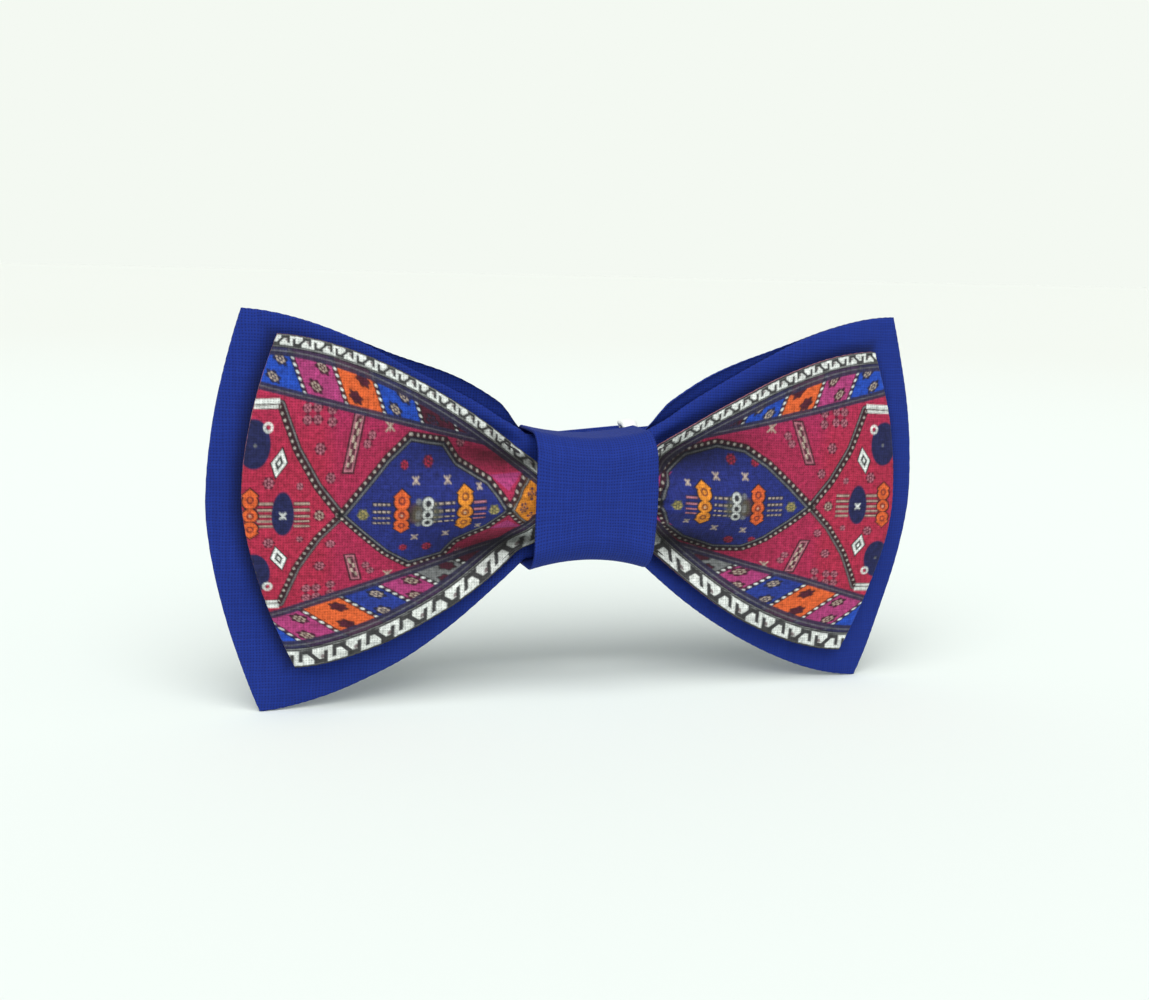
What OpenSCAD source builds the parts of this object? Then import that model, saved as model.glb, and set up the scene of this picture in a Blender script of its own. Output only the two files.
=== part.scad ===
// Pre-tied double bow tie: a plain outer bow, a smaller printed bow in front of it, a centre wrap,
// and an adjustable neck band folded up behind the wings.
// The bow stands upright as it is worn: +X to the right seen from the front, -Y to the front, +Z up.
// The origin is the middle of the wrap's back face, where it rests on the collar.

/* [Outer bow] */
// Width across the corners at the top edge
outer_top_w = 108; // [96:1:130]
// Width across the corners at the bottom edge
outer_bottom_w = 102; // [92:1:126]
// How far the end edges bow outwards past their corners
outer_bulge = 6.6; // [3:0.2:9]
// Height at the corners
outer_h = 62; // [54:1:76]

/* [Inner bow] */
// Border of the outer bow that shows at each end
end_border = 5; // [3:0.5:8]
// Border of the outer bow that shows along the top and bottom edges
edge_border = 5.6; // [4:0.2:7]

/* [Cloth] */
// Thickness of one shell cloth with its turned edge
cloth_t = 0.5; // [0.4:0.05:0.6]
// Thickness of a wing over both cloths and the interlining
wing_t = 2; // [1.8:0.1:2.3]
// Depth of each bow where it is gathered at the waist
waist_t = 3.9; // [3.6:0.1:4.4]
// Depth of the folds in the printed bow beside the wrap
fold_depth = 2.2; // [0:0.1:2.4]

/* [Centre wrap] */
// Width of the wrap
wrap_w = 19.4; // [17:0.2:23]
// How much taller the wrap is than the band inside it, at its two side edges
wrap_over_band = 7.4; // [7:0.2:10]
// How far its top and bottom dip between the side edges
wrap_dip = 1.2; // [0.6:0.1:1.4]
// Thickness of the wrap cloth
wrap_t = 0.55; // [0.4:0.05:0.6]

/* [Neck band] */
// Width of the band
band_w = 15; // [12:0.5:17]
// Thickness of the folded and stitched band
band_t = 1.2; // [1:0.05:1.4]
// Tilt of the band across the back
band_tilt = 5.5; // [0:0.5:7]
// Distance from the middle to the first outer fold on each side
first_fold_x = 46; // [40:1:48]
// Distance from the middle to the inner folds
inner_fold_x = 14; // [13:1:18]
// Distance from the middle to the last outer fold, where each end swings out
last_fold_x = 50.5; // [46:0.5:53]

/* [Hardware] */
// Diameter of the round bars that the band is looped on
bar_d = 1.3; // [1.1:0.05:1.5]
// Distance from the middle to the adjuster
slide_x = 12.6; // [8:0.2:20]
// Distance from the middle to the hook's bar
hook_x = 17.6; // [16:0.2:20]
// Distance from the middle to the ring's bar
ring_x = 38; // [37:0.2:40]

/* [Hidden] */

blue = "#1f3aa0";
print_red = "#8e2340";
lining_white = "#e9e6dc";
thread_blue = "#182c80";
thread_black = "#1c1a20";
plastic_white = "#f4f5f2";

gap = 0.2;                  // air between two layers that move with each other
bar_gap = 0.15;             // air between a bar and the band looped on it
seam_gap = 0.05;            // half of the groove between two cloths at a seam
seam_edge = 0.35;           // half thickness of the wing at its sewn edge
lining_t = 0.4 * (wing_t - 2 * cloth_t);        // interlining, in the space between the cloths
lining_end_s = 0.92;        // interlining stops at this share of the half width
lining_end_v = 0.85;        // and at this share of the half height
wrap_lining_t = 0.3;        // interlining inside the wrap
thread_d = 0.4;             // sewing thread, doubled and waxed
thread_inset = 1.3;         // seam stitches lie this far inside the edge
thread_share = 0.925;       // or at this share of the half height where the cloth is gathered
winding_air = 0.3;          // air under the thread wound round a waist
winding = winding_air + thread_d;
wing_gap = 1.7;             // air between the two bows at their ends
waist_step = 3.4;           // the inner waist is gathered this much closer at the top and bottom
wing_drop = [1.6, 0.6];     // the wings of each bow hang this far below its waist
wing_lean = [0.7, -0.4];    // and each bow leans: its right end is this much higher, its left lower
band_lift = 1;              // the band runs this far above the middle of the wrap
wrap_h = band_w + wrap_over_band;

// Depths, counted along Y from the wrap's back face.
band_y = -(wrap_t + wrap_lining_t + 2 * gap + band_t / 2);
outer_y = band_y - band_t / 2 - gap - winding - waist_t / 2;
inner_waist_y = outer_y - waist_t - gap - winding;
inner_end_y = outer_y - wing_t - wing_gap;
stack_front = inner_waist_y - waist_t / 2;
wrap_swell = 0.5;           // the wrap's front stands out this much more in its middle
wrap_front = stack_front - winding - gap - wrap_lining_t - wrap_t + wrap_swell;

// Where the gathers stop, as a share of the half width, and the heights there.
gather = wrap_w / outer_top_w;
lining_top = wrap_h / 2 - wrap_t - wrap_lining_t - gap;
waist_h = lining_top - winding;
inner_waist_h = waist_h - waist_step;

function smooth(a, b, x) = let (t = min(1, max(0, (x - a) / (b - a)))) t * t * (3 - 2 * t);

// Half width at a share v of the height: the ends bow out between their corners.
function half_w(v, inset) =
    (outer_top_w + outer_bottom_w) / 4 + v * (outer_top_w - outer_bottom_w) / 4
    + outer_bulge * (1 - pow(abs(v), 1.7)) - inset;

// Half height at a share s of the half width: pinched in the wrap, then flaring like a fan.
function half_h(s, corner, waist) =
    let (a = abs(s), u = max(0, (a - gather) / (1 - gather)))
    waist - wrap_dip * (1 - smooth(0, gather, a))
    + (corner - waist) * (1 - pow(1 - u, 1.7));

// Folds beside the wrap: a ridge along the middle and a valley above and below it.
function fold_shape(s, z) =
    let (a = abs(s), valley = 6.5 + 5 * a, edge = half_h(s, outer_h / 2, waist_h), q = abs(z))
    (smooth(gather, gather + 0.07, a) - smooth(0.24, 0.66, a))
    * (q < valley ? cos(180 * q / valley) : -1 + 1.5 * smooth(valley, max(edge, valley + 4), q));

// Fullness of a wing: 1 in the field, falling to 0 in a round roll at every edge.
function fullness(s, v) = sqrt(max(0, 1 - pow(abs(v), 12))) * sqrt(max(0, 1 - pow(abs(s), 24)));

// Half depth of a bow at a share s: gathered in the wrap, thin in the wing.
function half_t(s) = (waist_t + (wing_t - waist_t) * smooth(gather * 0.85, gather + 0.08, abs(s))) / 2;

// Middle surface of each bow.
function outer_mid(s, z) = outer_y - min(0.4 * fold_depth, 0.9) * fold_shape(s, z);
function inner_mid(s, z) =
    inner_waist_y + (inner_end_y - inner_waist_y) * smooth(0.2, 0.9, abs(s)) - fold_depth * fold_shape(s, z);

// A point on a bow. Kind 0 is the outer bow and 1 the printed one; off is the distance in front
// of the middle surface, at the seam and in the full field.
function bow_point(kind, s, v, at_seam, in_field) =
    let (
        corner = outer_h / 2 - kind * edge_border,
        waist = kind == 0 ? waist_h : inner_waist_h,
        z = v * half_h(s, corner, waist),
        mid = kind == 0 ? outer_mid(s, z) : inner_mid(s, z),
        full = fullness(s, v)
    )
    [
        s * half_w(v, kind * end_border),
        mid - (at_seam + (in_field - at_seam) * full),
        z + (wing_lean[kind] * sign(s) - wing_drop[kind]) * smooth(gather, 0.6, abs(s))
    ];

// Stations along and across a bow, close together at the wrap and at the edges.
half_s = [0.09, 0.165, 0.185, 0.21, 0.25, 0.3, 0.37, 0.45, 0.54, 0.64, 0.74, 0.84, 0.92, 0.97, 0.99, 1];
half_v = [0.17, 0.34, 0.52, 0.7, 0.85, 0.94, 0.985, 1];
lining_s = [for (s = half_s) if (s <= lining_end_s) s];
function both_sides(half) = concat(
    [for (i = [len(half) - 1 : -1 : 0]) -half[i]],
    [0],
    half
);

// Closes two grids of points, a front one and a back one, into a solid sheet.
module sheet(front, back) {
    n = len(front);
    m = len(front[0]);
    points = concat([for (row = front) each row], [for (row = back) each row]);
    face = function (i, j) i * m + j;
    b = n * m;
    cells = [for (i = [0 : n - 2], j = [0 : m - 2]) [i, j]];
    polyhedron(points, concat(
        [for (c = cells) each [
            [face(c.x, c.y), face(c.x, c.y + 1), face(c.x + 1, c.y + 1)],
            [face(c.x, c.y), face(c.x + 1, c.y + 1), face(c.x + 1, c.y)]
        ]],
        [for (c = cells) each [
            [b + face(c.x, c.y), b + face(c.x + 1, c.y + 1), b + face(c.x, c.y + 1)],
            [b + face(c.x, c.y), b + face(c.x + 1, c.y), b + face(c.x + 1, c.y + 1)]
        ]],
        [for (i = [0 : n - 2]) each [
            [face(i, 0), face(i + 1, 0), b + face(i + 1, 0)],
            [face(i, 0), b + face(i + 1, 0), b + face(i, 0)],
            [face(i, m - 1), b + face(i + 1, m - 1), face(i + 1, m - 1)],
            [face(i, m - 1), b + face(i, m - 1), b + face(i + 1, m - 1)]
        ]],
        [for (j = [0 : m - 2]) each [
            [face(0, j), b + face(0, j + 1), face(0, j + 1)],
            [face(0, j), b + face(0, j), b + face(0, j + 1)],
            [face(n - 1, j), face(n - 1, j + 1), b + face(n - 1, j + 1)],
            [face(n - 1, j), b + face(n - 1, j + 1), b + face(n - 1, j)]
        ]]
    ));
}

// Shell cloth of a bow. Side 1 is the front cloth and -1 the back one.
module panel(kind, side) {
    outside = function (s, v) bow_point(kind, s, v, side * seam_edge, side * half_t(s));
    inside = function (s, v) bow_point(kind, s, v, side * seam_gap, side * (half_t(s) - cloth_t));
    near = side == 1 ? outside : inside;
    far = side == 1 ? inside : outside;
    sheet(
        [for (s = both_sides(half_s)) [for (v = both_sides(half_v)) near(s, v)]],
        [for (s = both_sides(half_s)) [for (v = both_sides(half_v)) far(s, v)]]
    );
}

// Interlining of a bow: a flat sheet between the two cloths, on the same stations as they are.
module interlining(kind) {
    rows = both_sides([for (v = half_v) if (v <= lining_end_v) v]);
    grid = function (off) [for (s = both_sides(lining_s)) [for (v = rows) bow_point(kind, s, v, off, off)]];
    sheet(grid(lining_t / 2), grid(-lining_t / 2));
}

// Stitches of the edge seam: one thread that runs round a bow just inside its edge.
module seam_thread(kind) {
    corner = outer_h / 2 - kind * edge_border;
    waist = kind == 0 ? waist_h : inner_waist_h;
    rim = 1 - thread_inset / half_w(1, kind * end_border);
    row = function (s) max(thread_share, 1 - thread_inset / half_h(s, corner, waist));
    along = both_sides(concat(lining_s, rim));
    up = [-0.75, -0.5, -0.25, 0, 0.25, 0.5, 0.75];
    last = len(along) - 1;
    path = concat(
        [for (s = along) bow_point(kind, s, row(s), 0, 0)],
        [for (i = [len(up) - 1 : -1 : 0]) bow_point(kind, rim, up[i] * row(rim), 0, 0)],
        [for (i = [last : -1 : 0]) bow_point(kind, along[i], -row(along[i]), 0, 0)],
        [for (v = up) bow_point(kind, -rim, v * row(rim), 0, 0)]
    );
    loop_tube(path, thread_d / 2);
}

// Tube of four sides along a closed loop that lies close to one upright plane.
module loop_tube(path, r) {
    n = len(path);
    ring = function (i) let (
        p = path[i],
        d = path[(i + 1) % n] - path[(i + n - 1) % n],
        side = [d.z, 0, -d.x] / norm([d.z, 0, -d.x])
    )
    [p + r * side, p + [0, -r, 0], p - r * side, p + [0, r, 0]];
    points = [for (i = [0 : n - 1]) each ring(i)];
    polyhedron(points, [for (i = [0 : n - 1], k = [0 : 3]) each
        let (a = i * 4 + k, b = i * 4 + (k + 1) % 4, c = ((i + 1) % n) * 4 + k, d = ((i + 1) % n) * 4 + (k + 1) % 4)
        [[a, d, b], [a, c, d]]
    ]);
}

// Thread wound round a gathered waist: rectangular turns side by side along X.
module waist_winding(mid_y, height, depth, turns) {
    for (x = turns)
        translate([x - thread_d / 2, mid_y, 0])
            rotate([90, 0, 90])
                linear_extrude(thread_d) difference() {
                    round_rect(depth + 2 * winding, height + 2 * winding, winding_air + thread_d);
                    round_rect(depth + 2 * winding_air, height + 2 * winding_air, winding_air);
                }
}

// Rectangle with round corners, made of exact arcs.
module round_rect(w, h, r) {
    square([w - 2 * r, h], center = true);
    square([w, h - 2 * r], center = true);
    for (x = [-1, 1], y = [-1, 1])
        translate([x * (w / 2 - r), y * (h / 2 - r)]) circle(r = r, $fn = 32);
}

// One turn of a layer of the wrap at a share x of its half width, off inside its outer face.
function wrap_ring(x, off) =
    let (
        top = wrap_h / 2 - wrap_dip * (1 - x * x) - off,
        front = wrap_front - wrap_swell * (1 - x * x) + off,
        back = -off,
        rf = 4.2 - off,
        rb = 2.2 - off
    )
    concat(
        arc(x, back - rb, top - rb, rb, 0, 90),
        arc(x, front + rf, top - rf, rf, 90, 180),
        arc(x, front + rf, -top + rf, rf, 180, 270),
        arc(x, back - rb, -top + rb, rb, 270, 360)
    );
function arc(x, y, z, r, from, to) =
    [for (k = [0 : 4]) let (a = from + (to - from) * k / 4) [x * wrap_w / 2, y + r * cos(a), z + r * sin(a)]];

// A closed tube of cloth between two depths under the wrap's outer face.
module wrap_layer(outside, inside) {
    stations = [-1, -0.75, -0.5, -0.25, 0, 0.25, 0.5, 0.75, 1];
    out = [for (x = stations) wrap_ring(x, outside)];
    in = [for (x = stations) wrap_ring(x, inside)];
    n = len(stations);
    m = len(out[0]);
    b = n * m;
    at = function (i, j) i * m + j % m;
    polyhedron(
        concat([for (ring = out) each ring], [for (ring = in) each ring]),
        concat(
            [for (i = [0 : n - 2], j = [0 : m - 1]) each [
                [at(i, j), at(i + 1, j + 1), at(i, j + 1)],
                [at(i, j), at(i + 1, j), at(i + 1, j + 1)],
                [b + at(i, j), b + at(i, j + 1), b + at(i + 1, j + 1)],
                [b + at(i, j), b + at(i + 1, j + 1), b + at(i + 1, j)]
            ]],
            [for (j = [0 : m - 1]) each [
                [at(0, j), at(0, j + 1), b + at(0, j + 1)],
                [at(0, j), b + at(0, j + 1), b + at(0, j)],
                [at(n - 1, j), b + at(n - 1, j + 1), at(n - 1, j + 1)],
                [at(n - 1, j), b + at(n - 1, j), b + at(n - 1, j + 1)]
            ]]
        )
    );
}

module outer_front_panel() { color(blue) panel(0, 1); }
module outer_back_panel() { color(blue) panel(0, -1); }
module outer_interlining() { color(lining_white) interlining(0); }
module outer_seam_thread() { color(thread_blue) seam_thread(0); }
module inner_front_panel() { color(print_red) panel(1, 1); }
module inner_back_panel() { color(print_red) panel(1, -1); }
module inner_interlining() { color(lining_white) interlining(1); }
module inner_seam_thread() { color(thread_black) seam_thread(1); }

module outer_waist_thread() {
    color(thread_blue)
        waist_winding(outer_y, 2 * (waist_h - wrap_dip), waist_t, [-2.1, -0.7, 0.7, 2.1]);
}
module inner_waist_thread() {
    color(thread_black)
        waist_winding(inner_waist_y, 2 * (inner_waist_h - wrap_dip), waist_t, [-1.4, 0, 1.4]);
}

module centre_wrap() { color(blue) wrap_layer(0, wrap_t); }
module wrap_interlining() { color(lining_white) wrap_layer(wrap_t + 0.05, wrap_t + wrap_lining_t); }

// Ladder stitches that close the wrap across its back.
module wrap_closing_stitches() {
    stitch = 1.6;
    pitch = 2.6;
    color(thread_blue)
        for (k = [-3 : 3])
            translate([0, thread_d / 2 + 0.02, k * pitch])
                rotate([0, 90, 0]) cylinder(d = thread_d, h = stitch, center = true, $fn = 24);
}

// The band's own frame: tilted across the back, X along the band and Z across it.
module on_band() {
    translate([0, 0, band_lift]) rotate([0, -band_tilt, 0]) children();
}

// A straight run of band between two distances along it, its middle at depth y.
module run(x0, x1, y) {
    translate([min(x0, x1), y - band_t / 2, -band_w / 2]) cube([abs(x1 - x0), band_t, band_w]);
}

// A half turn of band about an upright line, to the right (dir 1) or to the left (dir -1).
module half_turn(x, y, r, dir) {
    translate([x, y, -band_w / 2])
        difference() {
            cylinder(r = r + band_t / 2, h = band_w, $fn = 64);
            translate([0, 0, -1]) cylinder(r = r - band_t / 2, h = band_w + 2, $fn = 64);
            translate([dir > 0 ? -3 * r : 0, -3 * r, -1]) cube([3 * r, 6 * r, band_w + 2]);
        }
}

turn_r = 1.4;                                   // folds pressed close together
last_turn_r = 1.7;                              // the last fold, which opens and shuts
run2_y = band_y + 2 * turn_r;
run3_y = run2_y + 2 * turn_r;
strap_y = run3_y + 2 * last_turn_r;
hinge_y = run3_y + last_turn_r;
loop_r = bar_d / 2 + bar_gap + band_t / 2;      // middle of the band looped on a bar
slide_y = strap_y + band_t + bar_gap + loop_r;  // the loop's inner leg lies on the strap
return_y = slide_y + loop_r;
hook_loop_r = (return_y - strap_y) / 2;         // the band runs slackly round the hook's bar
hook_y = strap_y + hook_loop_r;
ring_y = strap_y + loop_r;
turn_in = 7;                                    // the end of the band, turned in past a bar
tack_end = 1.6;                                 // stitches stop this far from the turned end
tack_margin = 2;                                // and this far from the band's edges
edge_gap = 0.3;                                 // air beside the band inside the hardware
frame_z = band_w / 2 + edge_gap;                // inner face of the hardware's side arms
arm_t = 1.1;                                    // side arms of the hardware
plate_t = 1.3;                                  // depth of the hardware's flat frames
slide_bar_w = 2.6;                              // width of the adjuster's front bar
cross_w = 1.6;                                  // width of a frame's cross piece

// The whole inner length of the band: through the wrap, then folded twice behind each wing.
module neck_band() {
    color(blue) on_band() {
        run(-first_fold_x, first_fold_x, band_y);
        for (dir = [-1, 1]) {
            half_turn(dir * first_fold_x, band_y + turn_r, turn_r, dir);
            run(dir * first_fold_x, dir * inner_fold_x, run2_y);
            half_turn(dir * inner_fold_x, run2_y + turn_r, turn_r, -dir);
            run(dir * inner_fold_x, dir * last_fold_x, run3_y);
        }
    }
}
module right_outer_fold() {
    color(blue) on_band() half_turn(last_fold_x, hinge_y, last_turn_r, 1);
}
module left_outer_fold() {
    color(blue) on_band() half_turn(-last_fold_x, hinge_y, last_turn_r, -1);
}

// Right end of the band: across the back of the wrap and round the hook's bar.
module right_strap() {
    color(blue) on_band() {
        run(-hook_x, last_fold_x, strap_y);
        half_turn(-hook_x, hook_y, hook_loop_r, -1);
    }
}

// The doubled layer, from the hook back to the adjuster, looped round its bar and turned in.
module right_strap_return() {
    color(blue) on_band() {
        run(-hook_x, slide_x, return_y);
        half_turn(slide_x, slide_y, loop_r, 1);
        run(slide_x, slide_x - turn_in, slide_y - loop_r);
    }
}

// Left end of the band: a short run that loops round the ring's bar and is sewn to itself.
module left_strap() {
    color(blue) on_band() {
        run(-last_fold_x, -ring_x, strap_y);
        half_turn(-ring_x, ring_y, loop_r, 1);
        run(-ring_x, -ring_x - turn_in, ring_y + loop_r);
    }
}

// A row of close stitches across the band that holds two layers together.
module bar_tack(x, y0, y1) {
    pitch = 1.1;
    count = floor((band_w - 2 * tack_margin) / pitch);
    for (k = [0 : count])
        translate([x, y0 + seam_gap, (k - count / 2) * pitch])
            rotate([-90, 0, 0]) cylinder(d = thread_d, h = y1 - y0 - 2 * seam_gap, $fn = 16);
}
module slide_bar_tack() {
    color(thread_blue) on_band()
        bar_tack(slide_x - turn_in + tack_end, slide_y - loop_r + band_t / 2, return_y - band_t / 2);
}
module ring_bar_tack() {
    color(thread_blue) on_band()
        bar_tack(-ring_x - turn_in + tack_end, strap_y + band_t / 2, ring_y + loop_r - band_t / 2);
}

// Adjuster: a flat bar in front of the strap and a round one behind it, with the strap between.
module adjuster_slide() {
    front_y = strap_y - band_t / 2 - bar_gap - arm_t;
    color(plastic_white) on_band() translate([slide_x, 0, 0]) {
        translate([-slide_bar_w / 2, front_y, -frame_z - arm_t / 2])
            cube([slide_bar_w, arm_t, 2 * frame_z + arm_t]);
        translate([0, slide_y, 0]) cylinder(d = bar_d, h = 2 * frame_z + arm_t, center = true, $fn = 32);
        for (dir = [-1, 1])
            translate([0, 0, dir * (frame_z + arm_t / 2) - arm_t / 2])
                linear_extrude(arm_t) slide_arm(front_y);
    }
}
// Outline of the adjuster's side arm, round at the back.
module slide_arm(front_y) {
    translate([-slide_bar_w / 2, front_y]) square([slide_bar_w, slide_y - front_y]);
    translate([0, slide_y]) circle(d = slide_bar_w, $fn = 32);
}

// Flat frame that hangs on a round bar, with a window for the band looped on it at radius r.
function window(r) = r + band_t / 2 + 0.8;
module hanging_frame(r) {
    cylinder(d = bar_d, h = 2 * frame_z + arm_t, center = true, $fn = 32);
    for (dir = [-1, 1])
        translate([0, 0, dir * (frame_z + arm_t / 2)]) {
            cylinder(d = plate_t, h = arm_t, center = true, $fn = 32);
            translate([0, -plate_t / 2, -arm_t / 2]) cube([window(r) + cross_w, plate_t, arm_t]);
        }
    translate([window(r), -plate_t / 2, -frame_z - arm_t / 2]) cube([cross_w, plate_t, 2 * frame_z + arm_t]);
}

// Hook: a tongue from the middle of the frame that curls back on itself.
tongue_w = 5;
tongue_len = 3.4;
tongue_t = 1.1;
curl_r = 1.35;
module band_hook() {
    color(plastic_white) on_band() translate([-hook_x, hook_y, 0]) mirror([1, 0, 0]) {
        hanging_frame(hook_loop_r);
        translate([window(hook_loop_r), -plate_t / 2, -tongue_w / 2]) {
            cube([cross_w + tongue_len, tongue_t, tongue_w]);
            translate([cross_w, 2 * curl_r, 0]) cube([tongue_len, tongue_t, tongue_w]);
            translate([cross_w + tongue_len, tongue_t / 2 + curl_r, 0]) curl();
        }
    }
}
// The half turn at the hook's tip.
module curl() {
    difference() {
        cylinder(r = curl_r + tongue_t / 2, h = tongue_w, $fn = 48);
        translate([0, 0, -1]) cylinder(r = curl_r - tongue_t / 2, h = tongue_w + 2, $fn = 48);
        translate([-2 * curl_r, -2 * curl_r, -1]) cube([2 * curl_r, 4 * curl_r, tongue_w + 2]);
    }
}

// Ring: the same frame with a second window, the eye that takes the hook.
eye_w = 3.4;
eye_h = 8;
eye_wall = 1.4;
module band_ring() {
    color(plastic_white) on_band() translate([-ring_x, ring_y, 0]) {
        hanging_frame(loop_r);
        translate([window(loop_r) + cross_w, 0, 0]) rotate([90, 0, 0])
            linear_extrude(plate_t, center = true) difference() {
                union() {
                    translate([0, -eye_h / 2 - eye_wall]) square([eye_w, eye_h + 2 * eye_wall]);
                    translate([eye_w, -eye_h / 2]) square([eye_wall, eye_h]);
                    for (dir = [-1, 1])
                        translate([eye_w, dir * eye_h / 2]) circle(r = eye_wall, $fn = 32);
                }
                translate([-1, -eye_h / 2]) square([eye_w + 1, eye_h]);
            }
    }
}

outer_front_panel();
outer_back_panel();
outer_interlining();
outer_seam_thread();
inner_front_panel();
inner_back_panel();
inner_interlining();
inner_seam_thread();
outer_waist_thread();
inner_waist_thread();
centre_wrap();
wrap_interlining();
wrap_closing_stitches();
neck_band();
right_outer_fold();
left_outer_fold();
right_strap();
right_strap_return();
left_strap();
slide_bar_tack();
ring_bar_tack();
adjuster_slide();
band_hook();
band_ring();
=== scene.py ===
# Pre-tied double bow tie: a plain blue bow with a smaller printed bow in front of it, a centre
# wrap, and a neck band folded up behind the wings with its slide, hook and ring.
# Lengths in the dictionaries are millimetres in the frame of the CAD model.
import math
import bpy
import numpy as np
from mathutils import Matrix, Vector


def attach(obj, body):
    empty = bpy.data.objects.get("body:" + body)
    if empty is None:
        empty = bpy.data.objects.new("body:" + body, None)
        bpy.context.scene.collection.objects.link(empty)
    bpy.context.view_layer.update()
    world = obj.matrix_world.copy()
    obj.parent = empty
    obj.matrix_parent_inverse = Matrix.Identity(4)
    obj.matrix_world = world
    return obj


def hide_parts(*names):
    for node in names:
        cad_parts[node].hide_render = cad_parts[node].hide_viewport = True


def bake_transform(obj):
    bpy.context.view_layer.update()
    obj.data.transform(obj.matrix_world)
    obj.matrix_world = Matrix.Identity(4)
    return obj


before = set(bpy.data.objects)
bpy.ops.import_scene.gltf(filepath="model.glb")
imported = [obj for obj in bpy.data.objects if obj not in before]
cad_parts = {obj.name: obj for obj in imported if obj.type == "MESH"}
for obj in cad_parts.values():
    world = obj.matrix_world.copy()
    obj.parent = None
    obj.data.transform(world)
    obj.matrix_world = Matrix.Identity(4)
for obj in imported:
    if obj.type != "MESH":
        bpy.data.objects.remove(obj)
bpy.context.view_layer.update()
mm = 0.001
print("frame loaded")


# A smooth step: 0 below a, 1 above b, an S curve between them.
def smooth(a, b, x):
    t = np.clip((x - a) / (b - a), 0, 1)
    return t * t * (3 - 2 * t)


# An sRGB hex colour turned to linear red, green, blue and alpha.
def linear(hexColour):
    share = np.array([int(hexColour[i:i + 2], 16) for i in (1, 3, 5)]) / 255
    value = np.where(share <= 0.04045, share / 12.92, ((share + 0.055) / 1.055) ** 2.4)
    return (*value.tolist(), 1.0)


# Steps from low to high that crowd towards high: an even step mixed with a quarter sine.
def crowded(low, high, count, share):
    t = np.linspace(0, 1, count)
    return low + (high - low) * ((1 - share) * t + share * np.sin(t * math.pi / 2))


# The same steps on both sides of 0.
def bothSides(half):
    return np.concatenate([-half[:0:-1], half])


# Makes a mesh object from points in millimetres. Its faces are turned outwards by the sign of the
# volume, the sum of each face's fan of tetrahedra from the origin. uv is per point, in millimetres.
def makePiece(name, points, faces, uv=None):
    mesh = bpy.data.meshes.new(name)
    mesh.from_pydata((np.asarray(points, float) * mm).tolist(), [], faces)
    mesh.polygons.foreach_set("use_smooth", np.ones(len(mesh.polygons), bool))
    mesh.calc_loop_triangles()
    corner = np.zeros(len(mesh.loop_triangles) * 3, np.int32)
    mesh.loop_triangles.foreach_get("vertices", corner)
    a, b, c = np.asarray(points, float)[corner.reshape(-1, 3)].transpose(1, 0, 2)
    if (a * np.cross(b, c)).sum() < 0:
        mesh.flip_normals()
    if uv is not None:
        ofLoop = np.zeros(len(mesh.loops), np.int32)
        mesh.loops.foreach_get("vertex_index", ofLoop)
        layer = mesh.uv_layers.new(name="cloth")
        layer.data.foreach_set("uv", np.asarray(uv, np.float32)[ofLoop].ravel())
    piece = bpy.data.objects.new(name, mesh)
    bpy.context.scene.collection.objects.link(piece)
    return piece


# Corner numbers of the cells of a grid of n by m points, the first of which has number start.
def cells(n, m, start=0):
    i, j = np.meshgrid(np.arange(n - 1), np.arange(m - 1), indexing="ij")
    a = (i * m + j).ravel() + start
    return np.stack([a, a + m, a + m + 1, a + 1], 1)


# A closed skin between an outer and an inner grid. The inner grid keeps one row in every few, and
# a rim of faces joins the two all round.
def skinBetween(outer, inner, every=1):
    n, m = outer.shape[:2]
    kept = np.unique(np.append(np.arange(0, m, every), m - 1))
    k = len(kept)
    points = np.concatenate([outer.reshape(-1, 3), inner[:, kept].reshape(-1, 3)])
    faces = cells(n, m).tolist() + cells(n, k, n * m)[:, ::-1].tolist()
    i = np.arange(n - 1)
    far, near = i * m + m - 1, i * m
    farIn, nearIn = n * m + i * k + k - 1, n * m + i * k
    faces += np.stack([near + m, near, nearIn, nearIn + k], 1).tolist()
    faces += np.stack([far, far + m, farIn + k, farIn], 1).tolist()
    last, lastIn = (n - 1) * m, n * m + (n - 1) * k
    for c in range(k - 1):
        span = np.arange(kept[c], kept[c + 1] + 1)
        faces.append([*span.tolist(), n * m + c + 1, n * m + c])
        faces.append([*(last + span[::-1]).tolist(), lastIn + c, lastIn + c + 1])
    return points, faces


# A tube through rings of points, closed into a loop or capped at both ends.
def tubeOf(rings, loop=False):
    n, k = rings.shape[:2]
    i, j = np.meshgrid(np.arange(n if loop else n - 1), np.arange(k), indexing="ij")
    nextI, nextJ = (i + 1) % n, (j + 1) % k
    faces = np.stack([i * k + j, nextI * k + j, nextI * k + nextJ, i * k + nextJ], -1)
    faces = faces.reshape(-1, 4).tolist()
    if not loop:
        faces += [list(range(k)), list(range(n * k - 1, (n - 1) * k - 1, -1))]
    return rings.reshape(-1, 3), faces


# Several sets of points and faces as one.
def together(parts):
    points, faces, start = [], [], 0
    for somePoints, someFaces in parts:
        points.append(somePoints)
        faces += [[corner + start for corner in face] for face in someFaces]
        start += len(somePoints)
    return np.concatenate(points), faces


# Adds a shader node with its settings and its inputs. An input is a value, another node, of which
# the first output in use is taken, or one of a node's outputs.
def addNode(tree, kind, settings=None, inputs=None):
    node = tree.nodes.new("ShaderNode" + kind)
    for key, value in (settings or {}).items():
        setattr(node, key, value)
    for key, value in (inputs or {}).items():
        if isinstance(value, bpy.types.Node):
            value = next(output for output in value.outputs if output.enabled)
        if isinstance(value, bpy.types.NodeSocket):
            tree.links.new(value, node.inputs[key])
        else:
            node.inputs[key].default_value = value
    return node


# An empty material and its tree.
def newMaterial(name):
    material = bpy.data.materials.new(name)
    material.use_nodes = True
    material.node_tree.nodes.clear()
    return material, material.node_tree


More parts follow.
